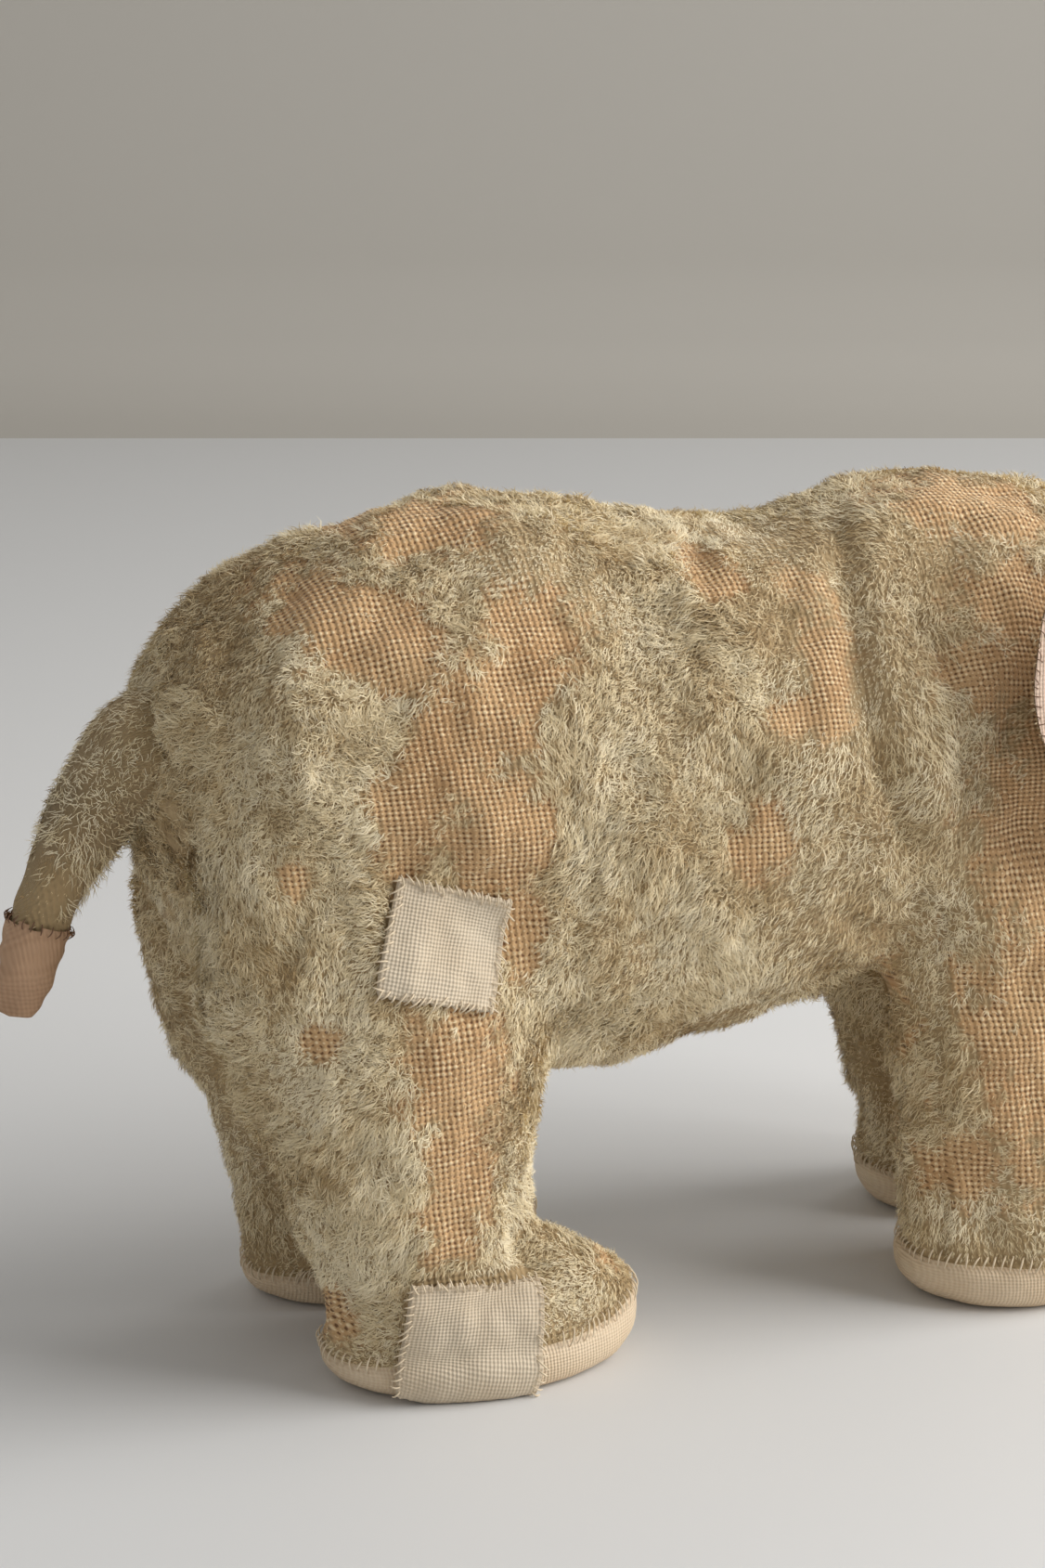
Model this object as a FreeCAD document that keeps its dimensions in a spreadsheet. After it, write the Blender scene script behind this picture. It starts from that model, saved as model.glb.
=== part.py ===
"""A worn mohair elephant on four legs: cut-and-sewn skins over packed wood-wool cores.

Row frame: +X towards the head, +Y its left side, +Z up, origin on the floor under the middle of its
length. Millimetres. The forms are lofts of elliptical stations held in one spreadsheet; each skin is the
shell between a form and the same form drawn in by the skin's thickness, cut along the sewing lines.
"""
import FreeCAD
import Part
import math
import os

from FreeCAD import Placement, Rotation, Vector

doc = FreeCAD.newDocument("elephant")
sheet = doc.addObject("Spreadsheet::Sheet", "Dims")
next_row = 1


def put(alias, value):
    """One driving dimension: its name in column A, its plain number in column B under an alias."""
    global next_row
    sheet.set(f"A{next_row}", alias)
    sheet.set(f"B{next_row}", str(value))
    sheet.setAlias(f"B{next_row}", alias)
    next_row += 1


def dim(alias):
    return float(sheet.get(alias))


# ---------------------------------------------------------------- driving dimensions
for alias, value in {
    "skin": 2.5,             # mohair backing with its pile pressed flat
    "cloth": 0.8,            # cotton duck: foot pads' cloth, mending patches
    "pad": 2.0,              # foot pad: duck with its turned edge
    "insole": 1.5,           # card stiffener above each pad
    "thread": 0.5,           # diameter of the sewing thread
    "gusset_half": 30.0,     # inner-leg gusset: its seams run down the hind legs' middles
    "gusset_front_half": 44.0,   # on the front legs the seam has rolled outwards
    "gusset_top": 104.0,
    "head_gusset_half": 9.0,
    "head_gusset_nape": 92.0,
    "reach": 260.0,          # half size of the cutting blocks
    "hind_pad_height": 11.5,     # seam height of the pads at the feet's middles
    "hind_pad_rise": 8.5,        # degrees that the seam climbs towards the toe
    "front_pad_height": 10.0,
    "front_pad_rise": -3.0,
    "insole_margin": 5.0,        # the card stops this far inside the welt
    "tail_ball": 11.0,           # rounded sewn end of the tail
    "tail_socket": 14.0,         # dimple in the rump that it sits in
    "ear_root_x": 108.0,
    "ear_root_y": 47.0,
    "ear_root_z": 165.0,
    "ear_lie": 14.5,             # degrees that a resting ear stands off the body
    "ear_mohair": 2.2,
    "ear_cotton": 0.8,
    "eye_radius": 4.4,           # half ball, flat side to the head
    "eye_forward": 28.0,         # from the head's centre
    "eye_up": 12.0,
    "shank_radius": 0.6,
    "shank_length": 9.0,
    "thigh_patch_x": -104.0,
    "thigh_patch_z": 114.0,
    "thigh_patch_wide": 29.5,
    "thigh_patch_tall": 27.0,
    "thigh_patch_turn": 15.0,
    "foot_patch_x": -97.5,
    "foot_patch_top": 32.0,
    "foot_patch_wide": 33.0,
    "foot_patch_turn": 7.0,
    "stitch_length": 3.0,
    "stitch_pitch": 4.0,
    "closing_seam_from": -62.0,
    "closing_seam_to": -18.0,
}.items():
    put(alias, value)

# Torso stations, perpendicular to X: position, centre height, half height, half width.
TORSO = {
    "rump_end": (-167, 147, 13, 10),
    "rump_back": (-161, 146, 31, 27),
    "rump": (-146, 142.5, 51, 43),
    "haunch": (-120, 140, 67, 51),
    "loin": (-82, 140, 76, 55),
    "waist": (-40, 137.5, 72.5, 55),
    "belly": (0, 140.5, 67, 54),
    "chest": (32, 149, 65, 52),
    "shoulder": (62, 151, 65, 50),
    "neck": (92, 150, 57, 46),
    "nape": (112, 152, 42, 34),
}
# Leg stations, perpendicular to Z: height, centre in X, half length, half width, centre out from the middle.
HIND_LEG = {
    "heel": (12, -100, 26.5, 20.5, 30.6),
    "ankle": (40, -105, 31, 23, 30),
    "shin": (70, -110, 37, 27, 30),
    "thigh": (102, -113, 45, 28, 30),
    "hip": (138, -112, 44, 22, 28),
}
FRONT_LEG = {
    "heel": (12, 64, 32, 24.5, 31),
    "ankle": (40, 62.5, 33.5, 26, 30.5),
    "shin": (70, 61, 34.5, 27, 30),
    "elbow": (102, 60, 36, 26, 29),
    "shoulder": (138, 60, 34, 19, 26),
}
# Feet: ellipsoids cut off flat at the floor. Centre in X, height, out; half length, half width, half height.
HIND_FOOT = {"x": -88, "z": 15.5, "out": 31, "long": 42, "wide": 25.5, "tall": 21}
FRONT_FOOT = {"x": 64.7, "z": 16.2, "out": 31.4, "long": 35.5, "wide": 26.5, "tall": 21.2}
# The left front foot is a step ahead and the left hind foot a little behind: shift in X at each station.
FRONT_STEP = {"foot": 22, "heel": 21, "ankle": 17, "shin": 8, "elbow": 2, "shoulder": 0}
HIND_STEP = {"foot": -3, "heel": -3, "ankle": -3, "shin": -3, "thigh": -2, "hip": 0}
# Trunk stations across its path: X, Z, radius, tilt of the station's plane about Y.
TRUNK = {
    "root": (143, 145, 28, -48),
    "brow": (161, 125, 23, -36),
    "middle": (175, 96, 17.5, -20),
    "lower": (181.5, 67, 14, -11),
    "lip": (187, 42, 12.3, -16),
}
HEAD = {"head_x": 120, "head_z": 158, "head_long": 46, "head_wide": 44, "head_tall": 50}
# Tail stations across its path: X, Z, radius, tilt.
TAIL = {
    "root": (-168.5, 148, 10.8, 44),
    "crook": (-178.8, 137.2, 9.2, 33),
    "middle": (-184.5, 123, 8.8, 23),
    "seam": (-188, 114.5, 8.2, 20),
    "end": (-192.5, 100, 6.6, 15),
    "tip": (-194, 94.5, 4.5, 12),
}
# Ear outline in its own flat plane: distance back from the sewn root, height above the root's middle.
EAR_POINTS = {"top": (0, 27), "crown": (30, 43), "back": (58, 24), "lobe": (52, -28), "chin": (22, -44),
              "bottom": (0, -24)}
for name, row in TORSO.items():
    for quantity, value in zip(("x", "z", "tall", "wide"), row):
        put(f"torso_{name}_{quantity}", value)
for leg, stations in (("hind", HIND_LEG), ("front", FRONT_LEG)):
    for name, row in stations.items():
        for quantity, value in zip(("z", "x", "long", "wide", "out"), row):
            put(f"{leg}_{name}_{quantity}", value)
for leg, foot in (("hind", HIND_FOOT), ("front", FRONT_FOOT)):
    for quantity, value in foot.items():
        put(f"{leg}_foot_{quantity}", value)
for leg, steps in (("hind", HIND_STEP), ("front", FRONT_STEP)):
    for name, value in steps.items():
        put(f"{leg}_{name}_step", value)
for form, stations in (("trunk", TRUNK), ("tail", TAIL)):
    for name, row in stations.items():
        for quantity, value in zip(("x", "z", "radius", "tilt"), row):
            put(f"{form}_{name}_{quantity}", value)
for alias, value in HEAD.items():
    put(alias, value)
doc.recompute()

# ---------------------------------------------------------------- forms: the shapes that the skins take
INSET = {"core": "- Dims.skin", "skin": "", "over": "+ Dims.cloth"}


def bind(obj, **expressions):
    for path, expression in expressions.items():
        obj.setExpression(path.replace("__", "."), expression)


def ellipse(name, major, minor, place, rotation, **centre):
    """An ellipse wire with its major axis along its own X, bound to the sheet."""
    obj = doc.addObject("Part::Ellipse", name)
    obj.Placement = Placement(place, rotation)
    bind(obj, MajorRadius=major, MinorRadius=minor)
    for axis, expression in centre.items():
        obj.setExpression(f"Placement.Base.{axis}", expression)
    return obj


def loft(name, sections):
    obj = doc.addObject("Part::Loft", name)
    obj.Sections = sections
    obj.Solid = True
    obj.Ruled = False
    return obj


def torso_form(level):
    grow = INSET[level]
    sections = []
    for name in TORSO:
        end = "+ Dims.skin" if (name == "rump_end" and level == "core") else ""
        key = f"Dims.torso_{name}_"
        sections.append(ellipse(
            f"torso_{level}_{name}", f"{key}tall {grow}", f"{key}wide {grow}",
            Vector(), Rotation(Vector(0, 1, 0), -90), x=f"{key}x {end}", z=f"{key}z"))
    return loft(f"torso_{level}", sections)


def leg_form(leg, stations, side, level):
    """The column of a leg on one side: side is -1 for the right and +1 for the left, which takes the step."""
    grow = INSET[level]
    sections = []
    for name in stations:
        key = f"Dims.{leg}_{name}_"
        step = f"+ {key}step" if side > 0 else ""
        sections.append(ellipse(
            f"{leg}_{side > 0:d}_{level}_{name}", f"{key}long {grow}", f"{key}wide {grow}",
            Vector(), Rotation(), x=f"{key}x {step}", y=f"{side} * {key}out", z=f"{key}z"))
    return loft(f"{leg}_{side > 0:d}_{level}", sections)


def ellipsoid(name, axes, tall, long, wide, **centre):
    """An ellipsoid whose poles lie along Y; axes is where its seam points and the axis square to that."""
    obj = doc.addObject("Part::Ellipsoid", name)
    seam, other = axes
    obj.Placement = Placement(Vector(), Rotation(seam, other, Vector(0, 1, 0), "XYZ"))
    upright = abs(seam.z) > 0.5
    bind(obj, Radius1=wide, Radius2=tall if upright else long, Radius3=long if upright else tall)
    for axis, expression in centre.items():
        obj.setExpression(f"Placement.Base.{axis}", expression)
    return obj


def foot_form(leg, side, level):
    """A foot on one side: an ellipsoid, whole; the floor plane cuts it later."""
    grow = INSET[level]
    key = f"Dims.{leg}_foot_"
    step = f"+ {key}step" if side > 0 else ""
    return ellipsoid(f"{leg}_foot_{side > 0:d}_{level}", (Vector(0, 0, 1), Vector(1, 0, 0)),
                     f"{key}tall {grow}", f"{key}long {grow}", f"{key}wide {grow}",
                     x=f"{key}x {step}", y=f"{side} * {key}out", z=f"{key}z")


def bent_form(form, stations, level):
    """Trunk or tail: circles across a path that bends in the XZ plane."""
    grow = INSET[level]
    sections = []
    for name, row in stations.items():
        key = f"Dims.{form}_{name}_"
        obj = doc.addObject("Part::Circle", f"{form}_{level}_{name}")
        seam_aside = Rotation(Vector(0, 0, 1), 70)
        obj.Placement = Placement(Vector(), Rotation(Vector(0, 1, 0), row[3]).multiply(seam_aside))
        bind(obj, Radius=f"{key}radius {grow}")
        lift = ""
        if name in ("lip", "tip") and level == "core":
            lift = "+ Dims.skin"
        obj.setExpression("Placement.Base.x", f"{key}x")
        obj.setExpression("Placement.Base.z", f"{key}z {lift}")
        sections.append(obj)
    return loft(f"{form}_{level}", sections)


def head_form(level):
    grow = INSET[level]
    return ellipsoid(f"head_{level}", (Vector(-1, 0, 0), Vector(0, 0, 1)), f"Dims.head_tall {grow}",
                     f"Dims.head_long {grow}", f"Dims.head_wide {grow}",
                     x="Dims.head_x", y="0", z="Dims.head_z")


def boolean(kind, name, *shapes):
    """A Part boolean of two or more document objects: Cut, MultiFuse or MultiCommon."""
    obj = doc.addObject(f"Part::{kind}", name)
    if kind == "Cut":
        obj.Base, obj.Tool = shapes
    else:
        obj.Shapes = list(shapes)
    return obj


def block(name, low, high, turn=0.0, about=Vector()):
    """A box from low to high, each a triple of expressions, then turned about Y by turn degrees."""
    obj = doc.addObject("Part::Box", name)
    for size, start, end in zip(("Length", "Width", "Height"), low, high):
        obj.setExpression(size, f"({end}) - ({start})")
    corner = Vector(*(evaluate(value) for value in low))
    turned = Rotation(Vector(0, 1, 0), turn)
    obj.Placement = Placement(about + turned.multVec(corner - about), turned)
    return obj


def evaluate(expression):
    """The number behind an expression, by way of a scratch cell."""
    sheet.set("D1", f"={expression.replace('Dims.', '')}")
    sheet.recompute()
    return float(sheet.get("D1"))


def node(obj, name):
    obj.Label = name
    nodes[name] = obj
    return obj


def fused(name, *shapes):
    """All the shapes in one, joined two at a time."""
    whole = shapes[0]
    for count, shape in enumerate(shapes[1:], 1):
        joined = doc.addObject("Part::Fuse", f"{name}_{count}")
        joined.Base, joined.Tool = whole, shape
        whole = joined
    return whole


def cut_by(name, shape, *tools):
    """The shape less each tool in turn."""
    for count, tool in enumerate(tools, 1):
        shape = boolean("Cut", f"{name}_{count}", shape, tool)
    return shape


nodes = {}
SIDES = ((-1, "right"), (1, "left"))
LEGS = (("hind", HIND_LEG), ("front", FRONT_LEG))
forms = {}
for level in ("core", "skin"):
    forms["torso", level] = torso_form(level)
    forms["head", level] = head_form(level)
    forms["trunk", level] = bent_form("trunk", TRUNK, level)
    forms["tail", level] = bent_form("tail", TAIL, level)
    for side, word in SIDES:
        for leg, stations in LEGS:
            forms[f"{leg}_{word}", level] = leg_form(leg, stations, side, level)
            forms[f"{leg}_foot_{word}", level] = foot_form(leg, side, level)
floor_block = block("floor_block", ("-Dims.reach", "-Dims.reach", "-50"), ("Dims.reach", "Dims.reach", "0"))
sole_block = block("sole_block", ("-Dims.reach", "-Dims.reach", "-50"),
                   ("Dims.reach", "Dims.reach", "Dims.pad + Dims.insole"))


def ball(name, radius, x, z):
    obj = doc.addObject("Part::Sphere", name)
    obj.setExpression("Radius", radius)
    obj.setExpression("Placement.Base.x", x)
    obj.setExpression("Placement.Base.z", z)
    return obj


socket = ball("socket", "Dims.tail_socket", "Dims.tail_root_x", "Dims.tail_root_z")

# ---------------------------------------------------------------- eyes: shoe buttons on wire shanks
EYE_X, EYE_Z = dim("eye_forward"), dim("eye_up")
LONG, WIDE, TALL = dim("head_long"), dim("head_wide"), dim("head_tall")
EYE_Y = WIDE * math.sqrt(1 - (EYE_X / LONG) ** 2 - (EYE_Z / TALL) ** 2)
shank_holes = []
for side, word in SIDES:
    outward = Vector(EYE_X / LONG ** 2, side * EYE_Y / WIDE ** 2, EYE_Z / TALL ** 2).normalize()
    place = Placement(Vector(dim("head_x") + EYE_X, side * EYE_Y, dim("head_z") + EYE_Z),
                      Rotation(Vector(0, 0, 1), outward))
    button = doc.addObject("Part::Sphere", f"button_{word}")
    button.Angle1 = 0
    bind(button, Radius="Dims.eye_radius")
    button.Placement = place
    node(button, f"eye_{word}")
    shank = doc.addObject("Part::Cylinder", f"shank_{word}")
    bind(shank, Radius="Dims.shank_radius", Height="Dims.shank_length")
    shank.Placement = place.multiply(Placement(Vector(0, 0, -dim("shank_length")), Rotation()))
    node(shank, f"eye_shank_{word}")
    shank_holes.append(shank)

# ---------------------------------------------------------------- stuffing: wood wool packed in wads
doc.recompute()
torso_core = forms["torso", "core"]
head_core = forms["head", "core"]
node(boolean("Cut", "torso_wad", torso_core, socket), "torso_stuffing")
head_less_torso = boolean("Cut", "head_less_torso", head_core, torso_core)
node(boolean("Cut", "head_wad", head_less_torso, boolean("MultiFuse", "shanks", *shank_holes)),
     "head_stuffing")
node(boolean("Cut", "trunk_wad", forms["trunk", "core"], head_core), "trunk_stuffing")
leg_cores, insoles = [], []
for side, word in SIDES:
    for leg, _ in LEGS:
        foot = boolean("Cut", f"{leg}_{word}_foot_core", forms[f"{leg}_foot_{word}", "core"], sole_block)
        whole = boolean("MultiFuse", f"{leg}_{word}_core", forms[f"{leg}_{word}", "core"], foot)
        leg_cores.append(whole)
        node(boolean("Cut", f"{leg}_{word}_wad", whole, torso_core), f"{leg}_leg_stuffing_{word}")
        # the card stiffener is an ellipse like the sole, drawn in from it
        key = f"Dims.{leg}_foot_"
        outline = ellipse(f"{leg}_{word}_card", f"{key}long - 3 * Dims.insole_margin",
                          f"{key}wide - 2 * Dims.insole_margin", Vector(), Rotation(),
                          x=f"{key}x" + (f"+ {key}step" if side > 0 else ""), y=f"{side} * {key}out",
                          z="Dims.pad")
        card = doc.addObject("Part::Extrusion", f"{leg}_{word}_insole")
        card.Base = outline
        card.Dir = Vector(0, 0, 1)
        card.DirMode = "Custom"
        card.setExpression("LengthFwd", "Dims.insole")
        card.Solid = True
        insoles.append(card)
        node(card, f"insole_{leg}_{word}")

# ---------------------------------------------------------------- skins: one shell, cut on its sewing lines
outer = fused("outer", *(forms[key] for key in forms if key[1] == "skin" and key[0] != "tail"))
shell = cut_by("shell", outer, floor_block, socket, torso_core, head_core, forms["trunk", "core"],
               *leg_cores, *insoles, *shank_holes)

# pads: everything below a slanting plane at each foot; each seam climbs towards the toe
pad_blocks = []
for side, word in SIDES:
    for leg, foot in (("hind", HIND_FOOT), ("front", FRONT_FOOT)):
        step = dim(f"{leg}_foot_step") if side > 0 else 0.0
        middle = Vector(foot["x"] + step, side * foot["out"], dim(f"{leg}_pad_height"))
        half = f"{foot['long']} + 3"
        wide = f"{foot['wide']} + 2"
        cutter = block(f"{leg}_{word}_pad_block",
                       (f"{middle.x} - ({half})", f"{middle.y} - ({wide})", "-12"),
                       (f"{middle.x} + ({half})", f"{middle.y} + ({wide})", f"Dims.{leg}_pad_height"),
                       -dim(f"{leg}_pad_rise"), middle)
        pad_blocks.append(cutter)
        node(boolean("MultiCommon", f"{leg}_{word}_pad", shell, cutter), f"foot_pad_{leg}_{word}")
mohair = cut_by("mohair", shell, *pad_blocks)

# inner legs and belly: between the seams that run down the legs, left and right of the closing seam
gusset = fused(
    "gusset",
    block("gusset_hind", ("-190", "-Dims.gusset_half", "-5"), ("20", "Dims.gusset_half", "Dims.gusset_top")),
    block("gusset_front", ("10", "-Dims.gusset_front_half", "-5"),
          ("124", "Dims.gusset_front_half", "Dims.gusset_top - 6")))
right_half = block("right_half", ("-Dims.reach", "-Dims.reach", "-Dims.reach"), ("Dims.reach", "0", "Dims.reach"))
left_half = block("left_half", ("-Dims.reach", "0", "-Dims.reach"), ("Dims.reach", "Dims.reach", "Dims.reach"))
belly = boolean("MultiCommon", "belly", mohair, gusset)
node(boolean("MultiCommon", "belly_right", belly, right_half), "inner_legs_and_belly_right")
node(boolean("MultiCommon", "belly_left", belly, left_half), "inner_legs_and_belly_left")


# head gusset over the crown and down the trunk's front; chin gusset under the jaw and up its back
def side_outline(name, points):
    """A closed outline in the XZ plane, padded both ways to the head gusset's width."""
    body = doc.addObject("PartDesign::Body", f"{name}_body")
    sketch = body.newObject("Sketcher::SketchObject", f"{name}_outline")
    plane = [f for f in body.Origin.OriginFeatures if f.Role == "XZ_Plane"][0]
    sketch.AttachmentSupport = [(plane, "")]
    sketch.MapMode = "FlatFace"
    corners = [Vector(x, z, 0) for x, z in points]
    for start, end in zip(corners, corners[1:] + corners[:1]):
        sketch.addGeometry(Part.LineSegment(start, end))
    pad = body.newObject("PartDesign::Pad", f"{name}_pad")
    pad.Profile = sketch
    pad.setExpression("Length", "2 * Dims.head_gusset_half")
    pad.Midplane = True
    return body


trunk_middles = [(row[0], row[1]) for row in TRUNK.values()]
tip_x, tip_z = trunk_middles[-1]
nape = dim("head_gusset_nape")
below_lip = (tip_x + 6, tip_z - 30)
crown_block = side_outline("crown", [(nape, 230), (nape, 152), *trunk_middles, below_lip,
                                     (240, below_lip[1]), (240, 230)])
chin_block = side_outline("chin", [(124, 90), (124, 146), *trunk_middles, below_lip, (124, below_lip[1])])
upper = boolean("Cut", "upper", mohair, gusset)
node(boolean("MultiCommon", "crown_strip", upper, crown_block), "head_gusset")
node(boolean("MultiCommon", "chin_strip", upper, chin_block), "chin_gusset")
sides = cut_by("sides", upper, crown_block, chin_block)
node(boolean("MultiCommon", "side_right", sides, right_half), "side_panel_right")
node(boolean("MultiCommon", "side_left", sides, left_half), "side_panel_left")


# ---------------------------------------------------------------- tail: skin over a firm core, duck sleeve
def tail_with_ball(level):
    end = ball(f"tail_ball_{level}", f"Dims.tail_ball {INSET[level]}", "Dims.tail_root_x", "Dims.tail_root_z")
    return fused(f"tail_{level}_whole", forms["tail", level], end)


tail_core = tail_with_ball("core")
tail_skin = tail_with_ball("skin")
node(tail_core, "tail_stuffing")
tail_shell = boolean("Cut", "tail_shell", tail_skin, tail_core)
seam_at = Vector(dim("tail_seam_x"), 0, dim("tail_seam_z"))
sleeve_block = block("sleeve_block", (f"{seam_at.x} - 30", "-20", f"{seam_at.z} - 40"),
                     (f"{seam_at.x} + 30", "20", f"{seam_at.z}"), dim("tail_seam_tilt"), seam_at)
node(boolean("Cut", "tail_mohair", tail_shell, sleeve_block), "tail_skin")
node(boolean("MultiCommon", "tail_sleeve", tail_shell, sleeve_block), "tail_patch_sleeve")


# ---------------------------------------------------------------- ears: mohair behind, cotton in front
def ear_leaf(name, side, thick, start):
    """One leaf of an ear: its outline padded to its thickness, standing off the head along the ear's lie.

    The sketch lies in XZ with the root on its own Z axis, and the ear runs back along -X.
    """
    body = doc.addObject("PartDesign::Body", f"{name}_body")
    sketch = body.newObject("Sketcher::SketchObject", f"{name}_outline")
    plane = [f for f in body.Origin.OriginFeatures if f.Role == "XZ_Plane"][0]
    sketch.AttachmentSupport = [(plane, "")]
    sketch.MapMode = "FlatFace"
    at = {key: Vector(-back, up, 0) for key, (back, up) in EAR_POINTS.items()}
    sketch.addGeometry(Part.LineSegment(at["bottom"], at["top"]))
    sketch.addGeometry(Part.Arc(at["top"], at["crown"], at["back"]))
    sketch.addGeometry(Part.Arc(at["back"], Vector(-64, -4, 0), at["lobe"]))
    sketch.addGeometry(Part.Arc(at["lobe"], at["chin"], at["bottom"]))
    pad = body.newObject("PartDesign::Pad", f"{name}_pad")
    pad.Profile = sketch
    pad.setExpression("Length", f"Dims.{thick}")
    pad.Reversed = side > 0
    body.Placement = Placement(
        Vector(dim("ear_root_x"), side * dim("ear_root_y"), dim("ear_root_z")),
        Rotation(Vector(0, 0, 1), -side * dim("ear_lie"))).multiply(Placement(Vector(0, start, 0), Rotation()))
    return node(body, name)


for side, word in SIDES:
    ear_leaf(f"ear_back_{word}", side, "ear_mohair", 0.0)
    ear_leaf(f"ear_lining_{word}", side, "ear_cotton", side * dim("ear_mohair"))

# ---------------------------------------------------------------- mending patches: duck laid over the skin
thigh_over = leg_form("hind", HIND_LEG, -1, "over")
foot_over = foot_form("hind", -1, "over")
at = Vector(dim("thigh_patch_x"), 0, dim("thigh_patch_z"))
square = block("thigh_square",
               (f"{at.x} - Dims.thigh_patch_wide / 2", "-80", f"{at.z} - Dims.thigh_patch_tall / 2"),
               (f"{at.x} + Dims.thigh_patch_wide / 2", "-40", f"{at.z} + Dims.thigh_patch_tall / 2"),
               dim("thigh_patch_turn"), at)
thigh_square = boolean("MultiCommon", "thigh_square_over", thigh_over, square)
node(cut_by("thigh_mend", thigh_square, forms["hind_right", "skin"], forms["torso", "skin"]), "thigh_patch")
at = Vector(dim("foot_patch_x"), 0, dim("foot_patch_top"))
square = block("foot_square", (f"{at.x} - Dims.foot_patch_wide / 2", "-80", "-20"),
               (f"{at.x} + Dims.foot_patch_wide / 2", "-44", "Dims.foot_patch_top"),
               dim("foot_patch_turn"), at)
foot_whole = fused("foot_over_whole", thigh_over, foot_over)
thigh_whole = fused("thigh_over_whole", thigh_over, forms["torso", "skin"])
foot_layer = cut_by("foot_layer", foot_whole, forms["hind_right", "skin"], forms["hind_foot_right", "skin"],
                    block("patch_floor", ("-Dims.reach", "-Dims.reach", "-50"),
                          ("Dims.reach", "Dims.reach", "0.3")))
node(boolean("MultiCommon", "foot_mend", foot_layer, square), "foot_patch")

doc.recompute()

# ---------------------------------------------------------------- sewing: rows of short thread stitches
THREAD = dim("thread") / 2
HALF_STITCH = dim("stitch_length") / 2
PITCH = dim("stitch_pitch")
CLEAR = THREAD + 0.30        # the thread's middle stands this far off the cloth
RING_CLEAR = THREAD + 0.35   # and this far where it crosses a seam that runs round a foot or the tail
RING_POINTS = 500            # places along a ring where a stitch may end


def stitch(start, end):
    """One straight stitch of thread from start to end."""
    return Part.makeCylinder(THREAD, (end - start).Length, start, end - start)


def sewn(name, stitches):
    row = doc.addObject("Part::Feature", name)
    row.Shape = Part.makeCompound(stitches)
    return node(row, name)


def section_ring(shape, middle, normal, reach):
    """The longest wire where the plane through middle, square to normal, cuts the shape."""
    across = normal.cross(Vector(0, 1, 0)).normalize()
    corner = middle - across * reach - normal.cross(across) * reach
    plane = Part.makePlane(2 * reach, 2 * reach, corner, normal, across)
    wires = [Part.Wire(edges) for edges in Part.sortEdges(shape.section(plane).Edges)]
    return max(wires, key=lambda wire: wire.Length)


def around(shape, middle, normal, reach, keep=lambda point: True):
    """Stitches across the seam in the plane through middle: each end lies just off the shape's surface."""
    rings = [section_ring(shape, middle + normal * (HALF_STITCH * share), normal, reach) for share in (-1, 0, 1)]
    low, seam, high = rings
    points = seam.discretize(Number=max(8, round(seam.Length / PITCH)) + 1)[:-1]
    beside = [ring.discretize(Number=RING_POINTS) for ring in (low, high)]
    stitches = []
    for point, following in zip(points, points[1:] + points[:1]):
        outward = (following - point).cross(normal).normalize()
        if outward.dot(point - middle) < 0:
            outward = -outward
        ends = [min(ring, key=lambda spot: spot.distanceToPoint(point)) + outward * RING_CLEAR for ring in beside]
        if keep(point):
            stitches.append(stitch(*ends))
    return stitches


def laid_on(shape, ends, ray):
    """A stitch whose two ends are dropped along ray onto the shape's near side."""
    seats = []
    for end in ends:
        inside = Part.makeLine(end - ray, end + ray).common(shape)
        near = min(inside.Vertexes, key=lambda vertex: vertex.Point.dot(ray))
        seats.append(near.Point - Vector(ray).normalize() * CLEAR)
    return stitch(*seats)


def along_square(shape, middle, wide, tall, turn, open_below=False):
    """Stitches across the edges of a turned square patch on the right side of the body."""
    turned = Rotation(Vector(0, 1, 0), turn)
    sides = [(Vector(-wide / 2, 0, tall / 2), Vector(1, 0, 0), wide, Vector(0, 0, 1)),
             (Vector(wide / 2, 0, tall / 2), Vector(0, 0, -1), tall, Vector(1, 0, 0)),
             (Vector(-wide / 2, 0, tall / 2), Vector(0, 0, -1), tall, Vector(-1, 0, 0))]
    if not open_below:
        sides.append((Vector(-wide / 2, 0, -tall / 2), Vector(1, 0, 0), wide, Vector(0, 0, -1)))
    stitches = []
    for corner, run, length, outward in sides:
        count = int(length // PITCH)
        for step in range(count):
            spot = corner + run * (PITCH * (step + 0.5)) - outward * (HALF_STITCH * 0.4)
            ends = [middle + turned.multVec(spot + outward * (sign * HALF_STITCH)) for sign in (-1, 1)]
            stitches.append(laid_on(shape, ends, Vector(0, 60, 0)))
    return stitches


patch_shape = nodes["foot_patch"].Shape
for side, word in SIDES:
    for leg, foot in (("hind", HIND_FOOT), ("front", FRONT_FOOT)):
        step = dim(f"{leg}_foot_step") if side > 0 else 0.0
        middle = Vector(foot["x"] + step, side * foot["out"], dim(f"{leg}_pad_height"))
        normal = Rotation(Vector(0, 1, 0), -dim(f"{leg}_pad_rise")).multVec(Vector(0, 0, 1))
        sewn(f"stitches_pad_{leg}_{word}",
             around(outer.Shape, middle, normal, foot["long"] + 6,
                    lambda seat: patch_shape.distToShape(Part.Vertex(seat))[0] > HALF_STITCH + 0.6))
tail_lean = Rotation(Vector(0, 1, 0), dim("tail_seam_tilt")).multVec(Vector(0, 0, 1))
sewn("stitches_tail_sleeve", around(tail_skin.Shape, seam_at, tail_lean, 20))
sewn("stitches_thigh_patch",
     along_square(thigh_whole.Shape, Vector(dim("thigh_patch_x"), -60, dim("thigh_patch_z")),
                  dim("thigh_patch_wide"), dim("thigh_patch_tall"), dim("thigh_patch_turn")))
foot_patch_tall = dim("foot_patch_top") - 10
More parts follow.
